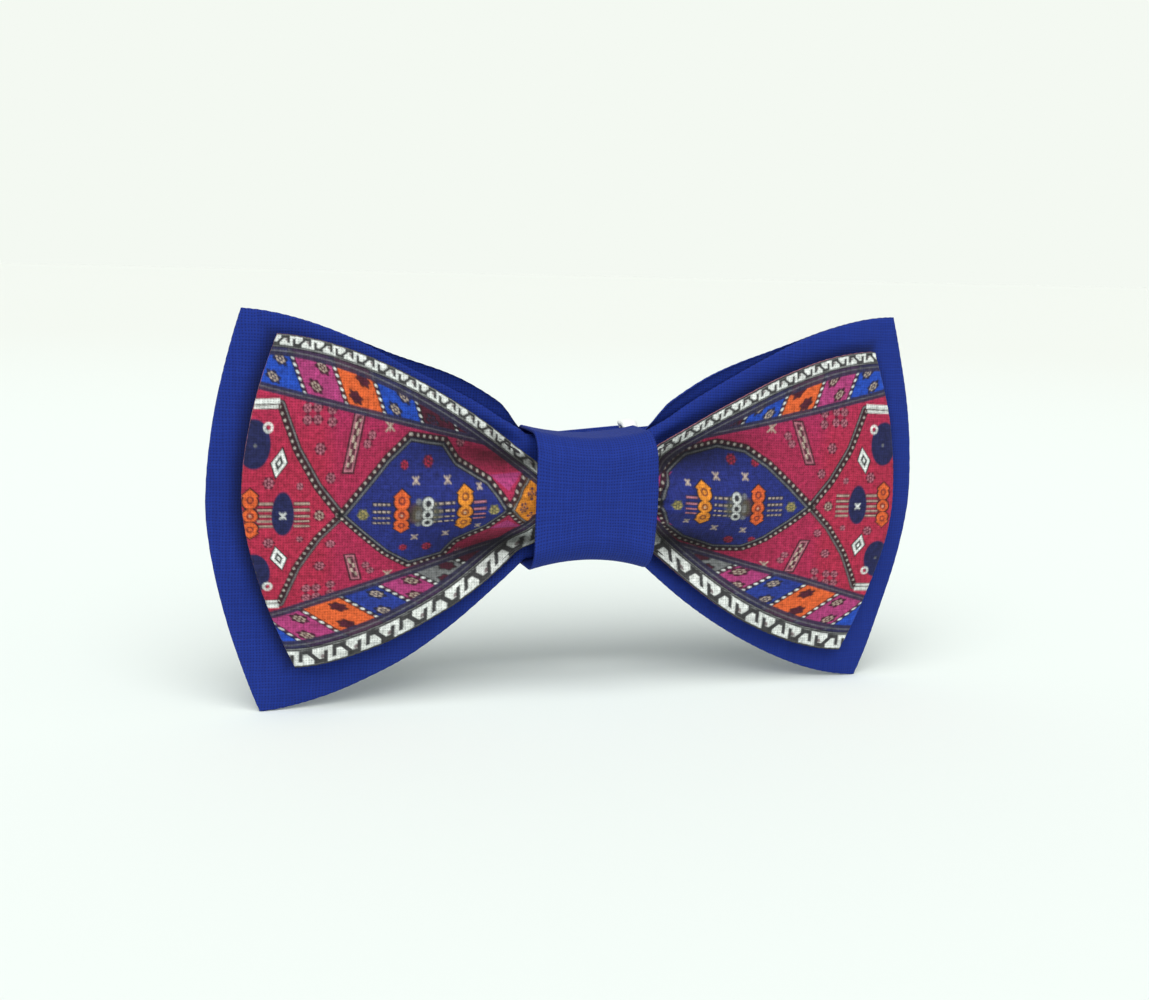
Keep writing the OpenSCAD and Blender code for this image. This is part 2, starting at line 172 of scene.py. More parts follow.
cameraSet = {"place": (-71.9, -234.0, 36.8), "yaw": -17.2, "pitch": 8.9, "roll": 2.2,
             "lens": 47.0, "sensor": 36, "clip": (0.01, 20)}

camera = bpy.data.objects.new("camera", bpy.data.cameras.new("camera"))
camera.data.lens, camera.data.sensor_width = cameraSet["lens"], cameraSet["sensor"]
camera.data.clip_start, camera.data.clip_end = cameraSet["clip"]
# The rows of this turn are the camera's right, down and forward directions.
ahead = Matrix(((1, 0, 0), (0, 0, -1), (0, 1, 0)))
for angle, axis in (("yaw", "Y"), ("pitch", "X"), ("roll", "Z")):
    ahead = Matrix.Rotation(math.radians(cameraSet[angle]), 3, axis) @ ahead
turn = Matrix((ahead[0], -ahead[1], -ahead[2])).transposed()
camera.matrix_world = Matrix.Translation(Vector(cameraSet["place"]) * mm) @ turn.to_4x4()
bpy.context.scene.collection.objects.link(camera)
bpy.context.scene.camera = camera

# The stage is a wide pale sheet of paper that the two lower corners of the bow stand on, left and
# right being their x and z. Its tint goes from near to far over the distances of fade, in metres.
stageSet = {"half": 6000, "gap": 0.05, "left": (-50.4, -33.3), "right": (50.4, -31.9),
            "near": "#e7edea", "far": "#e4e7e2", "fade": (0.15, 1.2)}
(leftX, leftZ), (rightX, rightZ) = stageSet["left"], stageSet["right"]
slope = (rightZ - leftZ) / (rightX - leftX)
floorZ = leftZ - slope * leftX - stageSet["gap"]
stagePoints = [(x * stageSet["half"], y * stageSet["half"], floorZ + slope * x * stageSet["half"])
               for x, y in ((-1, -1), (1, -1), (1, 1), (-1, 1))]
stage = makePiece("stage", stagePoints, [[0, 1, 2, 3]])
if stage.data.polygons[0].normal.z < 0:
    stage.data.flip_normals()
stagePaper, tree = newMaterial("mattPaperSheet")  # pale, quite without gloss, warmer far off
distance = addNode(tree, "VectorMath", {"operation": "LENGTH"}, {
    0: addNode(tree, "TexCoord").outputs["Object"]})
faded = addNode(tree, "MapRange", {"interpolation_type": "SMOOTHSTEP"}, {
    "Value": distance, "From Min": stageSet["fade"][0], "From Max": stageSet["fade"][1]})
tint = addNode(tree, "Mix", {"data_type": "RGBA"}, {
    "Factor": faded, "A": linear(stageSet["near"]), "B": linear(stageSet["far"])})
paper = addNode(tree, "BsdfPrincipled", None, {
    "Base Color": tint, "Roughness": 0.95, "Specular IOR Level": 0.1})
addNode(tree, "OutputMaterial", None, {"Surface": paper})
stage.data.materials.append(stagePaper)

# A pale room all round with a dimmer ceiling, which begins at the first height of ceiling and is
# full at the second, and a broad lamp above and in front of the bow.
lightSet = {"around": "#f4f9f2", "above": "#8f9290", "ceiling": (0.3, 0.75),
            "lampStrength": 2.9, "lampSpread": 62, "lampTilt": (36, -14, 0)}
world = bpy.data.worlds.new("room")
bpy.context.scene.world = world
world.use_nodes = True
tree = world.node_tree
tree.nodes.clear()
upward = addNode(tree, "SeparateXYZ", None, {0: addNode(tree, "TexCoord").outputs["Generated"]})
ceiling = addNode(tree, "MapRange", {"interpolation_type": "SMOOTHSTEP"}, {
    "Value": upward.outputs["Z"], "From Min": lightSet["ceiling"][0],
    "From Max": lightSet["ceiling"][1]})
room = addNode(tree, "Mix", {"data_type": "RGBA"}, {
    "Factor": ceiling, "A": linear(lightSet["around"]), "B": linear(lightSet["above"])})
glow = addNode(tree, "Background", None, {"Color": room})
addNode(tree, "OutputWorld", None, {"Surface": glow})
lamp = bpy.data.objects.new("lamp", bpy.data.lights.new("lamp", "SUN"))
lamp.data.energy = lightSet["lampStrength"]
lamp.data.angle = math.radians(lightSet["lampSpread"])
lamp.rotation_euler = [math.radians(tilt) for tilt in lightSet["lampTilt"]]
bpy.context.scene.collection.objects.link(lamp)
bpy.context.scene.view_settings.view_transform = "Standard"
print("camera, stage and light set")


# Ends a material: its shader, in relief where height is high, and its output. relief is the
# strength of the relief and its depth in millimetres.
def finishMaterial(tree, height, relief, shader):
    bump = addNode(tree, "Bump", None, {
        "Height": height, "Strength": relief[0], "Distance": relief[1] * mm})
    surface = addNode(tree, "BsdfPrincipled", None, {**shader, "Normal": bump})
    addNode(tree, "OutputMaterial", None, {"Surface": surface})


# Height of a plain weave from 0 to 1, over the cloth's own millimetres. Each yarn is a round ridge
# that rises and falls along its length as it passes over and under the yarns across it, and the
# higher of the two yarns shows. The coordinates are warped a little, because yarns wander.
def weaveHeight(tree, pitch, wander):
    cloth = addNode(tree, "UVMap", {"uv_map": "cloth"})
    drift = addNode(tree, "TexNoise", None, {"Vector": cloth, "Scale": 0.35, "Detail": 2.0})
    shift = addNode(tree, "VectorMath", {"operation": "MULTIPLY_ADD"}, {
        0: drift.outputs["Color"], 1: (wander, wander, 0), 2: cloth})
    split = addNode(tree, "SeparateXYZ", None, {0: shift})
    wave, ridge, parity = [], [], []
    for axis in ("X", "Y"):
        angle = addNode(tree, "Math", {"operation": "MULTIPLY"}, {
            0: split.outputs[axis], 1: math.pi / pitch})
        wave.append(addNode(tree, "Math", {"operation": "COSINE"}, {0: angle}))
        ridge.append(addNode(tree, "Math", {"operation": "ABSOLUTE"}, {0: wave[-1]}))
        parity.append(addNode(tree, "Math", {"operation": "SIGN"}, {0: wave[-1]}))
    yarns = []
    for own, across, lift in ((0, 1, 0.45), (1, 0, -0.45)):
        rise = addNode(tree, "Math", {"operation": "MULTIPLY"}, {0: parity[own], 1: wave[across]})
        yarns.append(addNode(tree, "Math", {"operation": "MULTIPLY_ADD"}, {
            0: rise, 1: lift, 2: ridge[own]}))
    top = addNode(tree, "Math", {"operation": "MAXIMUM"}, dict(enumerate(yarns)))
    height = addNode(tree, "MapRange", None, {"Value": top, "From Min": 0.3, "From Max": 1.45})
    return cloth, height


# Uneven yarns: streaks about one yarn wide and a few millimetres long, both ways of the cloth.
def yarnStreaks(tree, cloth, pitch, streak=0.16):
    both = []
    for scale in ((streak, 1 / pitch, 1), (1 / pitch, streak, 1)):
        stretch = addNode(tree, "Mapping", None, {"Vector": cloth, "Scale": scale})
        both.append(addNode(tree, "TexNoise", None, {
            "Vector": stretch, "Scale": 1.0, "Detail": 1.0}))
    sumOfBoth = addNode(tree, "Math", {"operation": "ADD"}, dict(enumerate(both)))
    return addNode(tree, "MapRange", None, {"Value": sumOfBoth, "From Min": 0.6, "From Max": 1.4})


# Plain-woven cotton, piece dyed royal blue: matt, with a fine even grid of yarns and painted shade
# in the holes between them, slightly streaky, and a faint bloom of fibres at grazing angles.
# The real yarns are about 0.3 mm apart; they are drawn 0.46 mm apart so that the weave shows.
# Painted shade: where the attribute named covered is 1, the colour is multiplied by the value of
# that name, standing in for the shadow that the printed bow casts on the blue one.
blueSet = {"pitch": 0.46, "wander": 0.5, "hollowShade": "#0b1750", "yarn": "#0f2776", "light": "#152f86",
           "underBowShade": 0.35, "relief": (0.8, 0.055), "shader": {
               "Roughness": 0.86, "Specular IOR Level": 0.25, "Sheen Weight": 0.07,
               "Sheen Roughness": 0.45, "Sheen Tint": linear("#5f76c8")}}


def blueCottonMaterial():
    material, tree = newMaterial("plainWovenBlueCotton")
    cloth, height = weaveHeight(tree, blueSet["pitch"], blueSet["wander"])
    dyed = addNode(tree, "Mix", {"data_type": "RGBA"}, {
        "Factor": yarnStreaks(tree, cloth, blueSet["pitch"]),
        "A": linear(blueSet["yarn"]), "B": linear(blueSet["light"])})
    # Painted shade: the colour darkens towards the hollows between the yarns.
    deep = addNode(tree, "MapRange", None, {"Value": height, "From Min": 0.0, "From Max": 0.55})
    shade = addNode(tree, "Mix", {"data_type": "RGBA"}, {
        "Factor": deep, "A": linear(blueSet["hollowShade"]), "B": dyed})
    # Painted shade under and beside the printed bow, read from the attribute.
    underBowShade = addNode(tree, "Attribute", {"attribute_name": "underBowShade"})
    kept = addNode(tree, "MapRange", None, {
        "Value": underBowShade.outputs["Fac"], "To Min": 1.0, "To Max": blueSet["underBowShade"]})
    toned = addNode(tree, "VectorMath", {"operation": "SCALE"}, {0: shade, "Scale": kept})
    finishMaterial(tree, height, blueSet["relief"], {**blueSet["shader"], "Base Color": toned})
    return material


# The same weave in white cotton, printed on its face: painted shade darkens the colours in the
# hollows between the yarns, so they are a little broken up by the weave. The drawing, darkened by
# painted shade along the valleys beside the wrap, is the attribute that printAndShadeOfWing paints.
printSet = {"pitch": 0.4, "wander": 0.4, "hollowShade": 0.62, "uneven": 0.12, "blotScale": 1.3,
            "blot": (0.5, 1.08), "relief": (0.7, 0.045), "shader": {
                "Roughness": 0.84, "Specular IOR Level": 0.22, "Sheen Weight": 0.06,
                "Sheen Roughness": 0.5, "Sheen Tint": linear("#c8b8c0")}}


def printedCottonMaterial():
    material, tree = newMaterial("plainWovenPrintedCotton")
    cloth, height = weaveHeight(tree, printSet["pitch"], printSet["wander"])
    ink = addNode(tree, "Attribute", {"attribute_name": "printAndValleyShade"})
    # Painted shade: the colour darkens towards the hollows between the yarns.
    deep = addNode(tree, "MapRange", None, {
        "Value": height, "From Min": 0.0, "From Max": 0.6,
        "To Min": printSet["hollowShade"], "To Max": 1.0})
    uneven = addNode(tree, "MapRange", None, {
        "Value": yarnStreaks(tree, cloth, printSet["pitch"]),
        "To Min": 1 - printSet["uneven"], "To Max": 1 + printSet["uneven"]})
    blot = addNode(tree, "TexNoise", None, {
        "Vector": cloth, "Scale": printSet["blotScale"], "Detail": 4.0, "Roughness": 0.65})
    bled = addNode(tree, "MapRange", None, {
        "Value": blot, "From Min": 0.3, "From Max": 0.66,
        "To Min": printSet["blot"][0], "To Max": printSet["blot"][1]})
    dyed = addNode(tree, "Math", {"operation": "MULTIPLY"}, {0: bled, 1: uneven})
    tone = addNode(tree, "Math", {"operation": "MULTIPLY"}, {0: deep, 1: dyed})
    shade = addNode(tree, "VectorMath", {"operation": "SCALE"}, {
        0: ink.outputs["Color"], "Scale": tone})
    finishMaterial(tree, height, printSet["relief"], {**printSet["shader"], "Base Color": shade})
    return material


# A material of two shades in clouds, with its grain in relief. cloud and grain are settings of
# noise over the piece's own place, and gloss is how far the clouds move the roughness, if at all.
def cloudedMaterial(name, shades, cloud, grain, relief, shader, gloss=None):
    material, tree = newMaterial(name)
    place = addNode(tree, "TexCoord").outputs["Object"]
    clouds = addNode(tree, "TexNoise", None, {"Vector": place, **cloud})
    grains = addNode(tree, "TexNoise", None, {"Vector": place, **grain})
    shade = addNode(tree, "Mix", {"data_type": "RGBA"}, {
        "Factor": clouds, "A": linear(shades[0]), "B": linear(shades[1])})
    if gloss:
        rough = addNode(tree, "MapRange", None, {
            "Value": clouds, "To Min": shader["Roughness"] + gloss[0],
            "To Max": shader["Roughness"] + gloss[1]})
        shader = {**shader, "Roughness": rough}
    finishMaterial(tree, grains, relief, {**shader, "Base Color": shade})
    return material


blueCotton = blueCottonMaterial()
printedCotton = printedCottonMaterial()
# Non-woven interlining: bonded fibres, off-white, with a felted, cloudy face.
interlining = cloudedMaterial(
    "bondedFibreInterlining", ("#cfccc0", "#eeebe2"), {"Scale": 160, "Detail": 3.0},
    {"Scale": 900, "Detail": 4.0, "Distortion": 1.5}, (0.5, 0.08), {"Roughness": 0.95})
# Spun polyester sewing thread: two plies, with the low sheen of a smooth fibre and a fine fuzz.
plies = {"Scale": 2600, "Detail": 2.0}
blueThread, darkThread = [
    cloudedMaterial("spunPolyesterThread" + name, shades, plies, plies, (0.6, 0.05),
                    {"Roughness": 0.6, "Sheen Weight": 0.2})
    for name, shades in (("Blue", ("#101e5c", "#2a41a0")), ("Dark", ("#121115", "#2c2a32")))]
# Injection-moulded acetal: dense white, softly glossy, slightly uneven where it cooled.
whitePlastic = cloudedMaterial(
    "mouldedWhiteAcetal", ("#e9ebe8", "#f4f5f2"), {"Scale": 140, "Detail": 2.0},
    {"Scale": 700, "Detail": 2.0}, (0.12, 0.05), {"Roughness": 0.3, "IOR": 1.48}, (-0.06, 0.1))
print("materials made")


# Finishes a piece: its material, the body that it rides on and the CAD nodes that it stands for.
def finishPiece(piece, material, body, nodes):
    piece.data.materials.append(material)
    if body:
        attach(piece, body)
    if nodes:
        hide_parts(*nodes)


bow = {
    "topWidth": 108, "bottomWidth": 102, "bulge": 6.6, "height": 62,
    "endBorder": 5, "edgeBorder": 5.6, "gather": 19.4 / 108,
    "clothDepth": 0.5, "wingDepth": 2, "waistDepth": 3.9, "foldDepth": (2.2, 3.0),
    "waistHalf": 9.45, "shoulder": 0.6, "waistStep": 3.4, "waistDip": 1.2,
    "outerY": -5.3, "innerWaistY": -10.1, "innerEndY": -9.0,
    "seamEdge": 0.35, "seamGap": 0.05, "drop": (1.6, 0.6), "lean": (0.7, -0.4),
    "stitch": 1.3, "pucker": 0.05, "dimple": 0.06, "pleat": 0.22, "ripple": 0.13,
    "backRoll": 1.7, "backLift": 0.6, "frontTuck": 0.6,
}


# Half width at a share v of the height: the ends bow out between their corners.
def halfWidth(v, kind):
    mean = (bow["topWidth"] + bow["bottomWidth"]) / 4
    taper = (bow["topWidth"] - bow["bottomWidth"]) / 4
    return mean + v * taper + bow["bulge"] * (1 - np.abs(v) ** 1.7) - kind * bow["endBorder"]


# Half height at a share s of the half width: pinched in the wrap, then flaring like a fan.
def halfHeight(s, kind):
    corner = bow["height"] / 2 - kind * bow["edgeBorder"]
    waist = bow["waistHalf"] - kind * bow["waistStep"]
    a = np.abs(s)
    u = np.clip((a - bow["gather"]) / (1 - bow["gather"]), 0, 1)
    pinched = waist - bow["waistDip"] * (1 - smooth(0, bow["gather"], a))
    shoulder = (1 - kind) * bow["shoulder"] * smooth(0.05, 0.14, a) * (1 - smooth(0.3, 0.6, a))
    return pinched + shoulder + (corner - waist) * (1 - (1 - u) ** 1.7)


# Folds beside the wrap: a ridge along the middle and a valley above and below it.
def foldShape(s, z):
    a = np.abs(s)
    q = np.abs(z)
    valley = 6.5 + 5 * a
    edge = np.maximum(halfHeight(s, 0), valley + 4)
    across = np.where(q < valley, np.cos(math.pi * q / valley), -1 + 1.5 * smooth(valley, edge, q))
    return (smooth(bow["gather"], bow["gather"] + 0.07, a) - smooth(0.24, 0.66, a)) * across


# Half depth of a bow at a share s: gathered in the wrap, thin in the wing.
def halfDepth(s):
    thin = smooth(bow["gather"] * 0.85, bow["gather"] + 0.08, np.abs(s))
    return (bow["waistDepth"] + (bow["wingDepth"] - bow["waistDepth"]) * thin) / 2


# A point on a bow. Kind 0 is the blue bow and 1 the printed one. The two offsets are distances in
# front of its middle surface, at the seam and in the full field, and the cloth rolls from one to
# the other like a flattened ellipse.
def bowPoint(kind, s, v, atSeam, inField):
    z = v * halfHeight(s, kind)
    if kind == 0:
        middle = bow["outerY"] - 0.4 * bow["foldDepth"][0] * foldShape(s, z)
    else:
        outward = smooth(0.2, 0.9, np.abs(s))
        middle = (bow["innerWaistY"] + (bow["innerEndY"] - bow["innerWaistY"]) * outward
                  - bow["foldDepth"][1] * foldShape(s, z))
    full = np.sqrt(np.clip(1 - np.abs(v) ** 12, 0, 1)) * np.sqrt(np.clip(1 - np.abs(s) ** 24, 0, 1))
    x = s * halfWidth(v, kind)
    y = middle - (atSeam + (inField - atSeam) * full)
    hang = bow["lean"][kind] * np.sign(s) - bow["drop"][kind]
    return np.stack([x, y, z + hang * smooth(bow["gather"], 0.6, np.abs(s))], -1)


# What sewing and wearing do to a wing, as a shift of its points: stitches pull small notches into
# the edge and dimples beside it, gathers run out from the wrap as shallow pleats, and the cloth is
# never quite flat. All are sums of sines along the edges and over the face.
def handSewn(kind, side, s, v, points):
    x, z = points[..., 0], points[..., 2]
    beat = 0.5 + 0.5 * np.cos(2 * math.pi * x / bow["stitch"] + 1.6 * np.sin(0.83 * x) + kind)
    beatEnd = 0.5 + 0.5 * np.cos(2 * math.pi * z / bow["stitch"] + 1.4 * np.sin(0.71 * z) + kind)
    a, q = np.abs(s), np.abs(v)
    clearOfWrap = smooth(bow["gather"], bow["gather"] + 0.03, a)
    shift = np.zeros_like(points)
    shift[..., 2] -= np.sign(v) * smooth(0.955, 1, q) * bow["pucker"] * beat * clearOfWrap
    shift[..., 0] -= np.sign(s) * smooth(0.975, 1, a) * bow["pucker"] * beatEnd
    ring = smooth(0.86, 0.94, q) * (1 - smooth(0.96, 1, q)) * beat
    ringEnd = smooth(0.93, 0.965, a) * (1 - smooth(0.98, 1, a)) * beatEnd
    shift[..., 1] += side * bow["dimple"] * (ring + ringEnd) * clearOfWrap
    pleat = np.cos(7.5 * math.pi * v + 0.8 * np.sin(9 * s))
    pleat *= (1 - smooth(0.2, 0.46, a)) * clearOfWrap
    shift[..., 1] += bow["pleat"] * pleat * (1 - q ** 6)
    wander = (np.sin(0.19 * x + 0.11 * z + 2.1 * kind) + 0.7 * np.sin(0.31 * z - 0.13 * x + 1.3)
              + 0.5 * np.sin(0.47 * x + 0.29 * z + 0.6))
    shift[..., 1] += bow["ripple"] * wander * smooth(0.24, 0.5, a)
    return shift


# The two faces of one cloth of a bow. Side 1 is the front cloth and -1 the back one. Beside the
# wrap the blue front cloth is tucked down along its top edge, and the back cloth stands up behind
# it as a second, narrower roll.
def clothFaces(kind, side, shares, rows):
    s, v = np.meshgrid(shares, rows, indexing="ij")
    a = np.abs(s)
    beside = smooth(bow["gather"] + 0.005, 0.27, a) * (1 - smooth(0.36, 0.72, a)) * (1 - kind)
    rise, lift = -bow["frontTuck"] * smooth(0.5, 1, v), 0
    if side < 0:
        rise, lift = bow["backRoll"] * smooth(0.5, 0.97, v), bow["backLift"] * smooth(0.3, 1, v)
    outer = bowPoint(kind, s, v, side * bow["seamEdge"], side * halfDepth(s))
    inner = bowPoint(kind, s, v, side * bow["seamGap"] + lift * beside,
                     side * (halfDepth(s) - bow["clothDepth"]))
    shift = handSewn(kind, side, s, v, outer)
    shift[..., 2] += rise * beside
    return s, v, outer + shift, inner + shift


# One cloth of a bow as a closed piece, with the cloth's own millimetres as its map.
def clothPiece(name, kind, side, shares, rows, every):
    s, v, outer, inner = clothFaces(kind, side, shares, rows)
    points, faces = skinBetween(outer, inner, every)
    return makePiece(name, points, faces, points[:, [0, 2]])


atWrap, onWing = np.linspace(0, 0.17, 8), crowded(0.17, 1, 190, 0.5)
blueShares = bothSides(np.unique(np.concatenate([atWrap, onWing])))
blueRows = bothSides(crowded(0, 1, 56, 1))
outerFront = clothPiece("outerFrontCloth", 0, 1, blueShares, blueRows, 6)
# Painted shade: under the printed bow and close beside it the blue cloth is darkened, standing in
# for the shadow that the printed bow casts on it. The painted shade, covered, rises from 0 a little
# outside the printed bow's outline to 1 just inside it, clear of the wrap.
cover = {"halfWidth": 53, "halfHeight": 25.4, "drop": 0.6, "edge": (-2.6, 0.4), "wrap": (9, 14)}
place = np.zeros(len(outerFront.data.vertices) * 3)
outerFront.data.vertices.foreach_get("co", place)
x, z = place.reshape(-1, 3)[:, 0] / mm, place.reshape(-1, 3)[:, 2] / mm
inset = np.minimum(halfWidth(np.clip(z / cover["halfHeight"], -1, 1), 1) - np.abs(x),
                   halfHeight(x / cover["halfWidth"], 1) - np.abs(z + cover["drop"]))
underBowShade = smooth(*cover["edge"], inset) * smooth(*cover["wrap"], np.abs(x))
underBowShadeLayer = outerFront.data.attributes.new("underBowShade", "FLOAT", "POINT")
underBowShadeLayer.data.foreach_set("value", underBowShade.astype(np.float32))
finishPiece(outerFront, blueCotton, "bow", ["outer_front_panel"])
outerBack = clothPiece("outerBackCloth", 0, -1, blueShares, blueRows, 6)
finishPiece(outerBack, blueCotton, "bow", ["outer_back_panel"])
print("blue bow made")


# Interlining of a bow: a flat sheet between its cloths that stops short of the seams, at shares
# wide and high of the bow's half width and half height. half is half its thickness.
lining = {"wide": 0.92, "high": 0.85, "half": 0.2}


def interliningPiece(name, kind, node):
    shares, rows = np.linspace(0, lining["wide"], 32), np.linspace(0, lining["high"], 11)
    s, v = np.meshgrid(bothSides(shares), bothSides(rows), indexing="ij")
    front, back = [bowPoint(kind, s, v, off, off) for off in (lining["half"], -lining["half"])]
    shift = handSewn(kind, 1, s, v, front)
    points, faces = skinBetween(front + shift, back + shift)
    piece = makePiece(name, points, faces, points[:, [0, 2]])
    finishPiece(piece, interlining, "bow", [node])


interliningPiece("outerInterlining", 0, "outer_interlining")
interliningPiece("innerInterlining", 1, "inner_interlining")


# The print is a carpet drawing: a hooked black and white border, a stripe of slanting cells, a
# crimson field, and dotted bands that cross in an X beside a blue medallion. It is laid out in
# millimetres: a is the distance from the middle of the bow, and q the distance from the drawing's
# middle line, which is the same above and below it.
ink = {
    "crimson": "#a3284c", "magenta": "#a82c62", "red": "#ae2a40", "navy": "#20244f",
    "medallion": "#222c74", "blue": "#1f48b0", "deepBlue": "#24388c", "pink": "#a83c74",
    "orange": "#d86030", "amber": "#de8a2e", "maroon": "#4a1a2c", "slate": "#2f2c46",
    "black": "#1f1d22", "pale": "#b9a898", "white": "#dfe4e0", "grey": "#77797a",
    "rose": "#b87482", "straw": "#a8985a", "olive": "#5e5f44", "bead": "#b8b2a8",
}
drawing = {
    "crossOuter": 39.4, "crossInner": 14.1, "bandWidth": 1.35, "dotPitch": 1.0, "dot": 0.2,
    "arm": ((39.4, 0.0), (42.9, 3.9), (46.0, 8.9), (47.6, 12.9), (48.4, 15.0), (56.0, 15.4)),
    "medallionLeft": ((39.4, 0.0), (36.4, 3.2), (32.6, 7.2), (29.0, 9.9), (23.6, 8.8), (21.6, 6.2),
                      (17.0, 3.6), (14.1, 0.0)),
    "medallionRight": ((39.4, 0.0), (36.0, 3.0), (32.0, 6.2), (28.4, 8.2), (24.0, 8.6), (19.0, 7.0),
                       (15.6, 4.4), (13.8, 0.0)),
    "hexagon": ((14.1, 0.0), (12.4, 2.2), (10.4, 4.2), (6.0, 4.6)),
    "topBorder": 1.75, "bottomBorder": 2.9, "middle": -0.8, "outerDrop": 1.2, "rightLift": 0.5,
    "upperLine": (10.6, 0.242, 22.4), "lowerLine": (8.6, 0.304, 21.2),
    "rightShift": 0.9, "rightScale": 0.914,
}


# Everything that the motifs need: places, the colour so far, and a slow unevenness of the dyes.
def blankCloth(a, q, sign):
    uneven = (np.sin(1.7 * a + 0.9 * q) + np.sin(2.9 * q - 1.1 * a + 2)
              + np.sin(0.6 * a - 0.5 * q)) / 3
    ground = np.tile(np.array(linear(ink["crimson"])[:3]), (*a.shape, 1))
    return {"a": a, "q": q, "up": sign, "uneven": uneven, "colour": ground}


# Lays an ink where the signed distance is below 0, with a soft edge as of dye in cotton.
def lay(cloth, distance, name, strength=1.0, soft=0.16):
    cover = (np.clip(0.5 - distance / soft, 0, 1) * strength)[..., None]
    cloth["colour"] = cloth["colour"] * (1 - cover) + np.array(linear(ink[name])[:3]) * cover


# Signed distances, in millimetres, to a disc and a slanted box.
def disc(cloth, a, q, r, ratio=1.0):
    return (np.hypot((cloth["a"] - a) / ratio, cloth["q"] - q) - r) * min(1.0, ratio)


def slab(cloth, a, q, halfA, halfQ, slant=0.0):
    u = np.abs(cloth["a"] - a - slant * (cloth["q"] - q)) - halfA
    w = np.abs(cloth["q"] - q) - halfQ
    return np.maximum(u, w)


# The distance to a line between two points, the length along it to there, and the side of it.
def lineTo(cloth, start, end):
    d = np.subtract(end, start)
    u, w = cloth["a"] - start[0], cloth["q"] - start[1]
    t = np.clip((u * d[0] + w * d[1]) / (d @ d), 0, 1)
    return np.hypot(u - t * d[0], w - t * d[1]), t * math.hypot(*d), np.sign(u * d[1] - w * d[0])


# The nearest piece of a run of lines: its distance, the length along the run, and the side.
def runOf(cloth, corners):
    best, along, side, length = np.full(cloth["a"].shape, 1e9), 0.0, 0.0, 0.0
    for start, end in zip(corners[:-1], corners[1:]):
        far, here, hand = lineTo(cloth, start, end)
        near = far < best
        best = np.where(near, far, best)
        along = np.where(near, here + length, along)
        side = np.where(near, hand, side)
        length += math.dist(start, end)
    return best, along, side


# A round flower with a dark outline, notched petals and a pale heart.
def rosette(cloth, a, q, r=0.85, petals=6, heart="rose", rim="maroon"):
    u, w = cloth["a"] - a, cloth["q"] - q
    far = np.hypot(u, w)
    notch = np.cos(petals * np.arctan2(w, u))
    lay(cloth, far - r * (1 + 0.14 * notch), rim, 0.9)
    lay(cloth, np.abs(far - 0.62 * r) - 0.13 + 0.1 * notch, heart, 0.75)
    lay(cloth, far - 0.2 * r, heart, 0.9)


# Four small flowers in a square, or two in a column.
def cluster(cloth, a, q, columns=2):
    for da in ((-0.75, 0.75) if columns == 2 else (0.0,)):
        for dq in (-0.8, 0.8):
            rosette(cloth, a + da, q + dq, 0.72, 4)


# A small star: a slanting cross and an upright of pale strokes over a dark shade.
def star(cloth, a, q, r=0.6, colour="pale"):
    lay(cloth, disc(cloth, a, q, r * 0.95), "maroon", 0.35)
    for slant in (-1, 1):
        stroke = lineTo(cloth, (a - r, q - slant * r), (a + r, q + slant * r))[0]
        lay(cloth, stroke - 0.13, colour, 0.85)
    lay(cloth, lineTo(cloth, (a, q - r), (a, q + r))[0] - 0.1, colour, 0.6)


# A comb: short pale bars side by side, each with a dark outline, some broken up into beads.
def comb(cloth, a, halfA, bars, pitch, colour="pale", broken=0):
    for k in range(bars):
        q = (k - (bars - 1) / 2) * pitch
        lay(cloth, slab(cloth, a, q, halfA + 0.08, 0.3), "black", 0.75)
        bar = slab(cloth, a, q, halfA, 0.13)
        if broken:
            bead = halfA / broken
            gaps = np.abs(np.mod(cloth["a"] - a, 2 * bead) - bead) - 0.62 * halfA / broken
            bar = np.maximum(bar, gaps)
        lay(cloth, bar, colour, 0.9)


# A tall motif of three lobes with pointed ends and a ring in each lobe.
def lobed(cloth, a, half, body, ring):
    for grow, name in ((0.22, "black"), (0.0, body)):
        lay(cloth, disc(cloth, a, 0, 0.95 + grow, 1.15), name)
        for dq in (-1, 1):
            lay(cloth, disc(cloth, a, dq * half * 0.55, 0.95 + grow, 1.15), name)
            tip = np.abs(cloth["a"] - a) * 0.8 + np.abs(cloth["q"] - dq * half * 0.78) - 0.95 - grow
            lay(cloth, tip, name)
    for dq in (-0.62, 0, 0.62):
        far = np.hypot(cloth["a"] - a, cloth["q"] - dq * half)
        lay(cloth, np.abs(far - 0.42) - 0.13, ring, 0.8)
    lay(cloth, disc(cloth, a, 0, 0.2), "pale", 0.8)


# A dark band with a pale line on one side and a row of white dots on the other.
def dottedBand(cloth, corners):
    far, along, side = runOf(cloth, corners)
    level = far * side
    half = drawing["bandWidth"] / 2
    lay(cloth, far - half, "black", 0.93)
    lay(cloth, np.abs(level + half - 0.28) - 0.11, "grey", 0.8)
    step = np.mod(along, drawing["dotPitch"]) - drawing["dotPitch"] / 2
    lay(cloth, np.hypot(step, level - 0.3) - drawing["dot"], "bead", 0.95)


# Inside of a shape whose half outline is a run of corners over the middle line.
def insideOf(cloth, corners):
    order = corners[::-1] if corners[0][0] > corners[-1][0] else corners
    edge = np.interp(cloth["a"], [c[0] for c in order], [c[1] for c in order], left=-1, right=-1)
    return np.abs(cloth["q"]) - edge


# Draws motifs one on the other: each is its function and what that takes after the cloth.
def drawAll(cloth, motifs):
    for draw, *settings in motifs:
        draw(cloth, *settings)


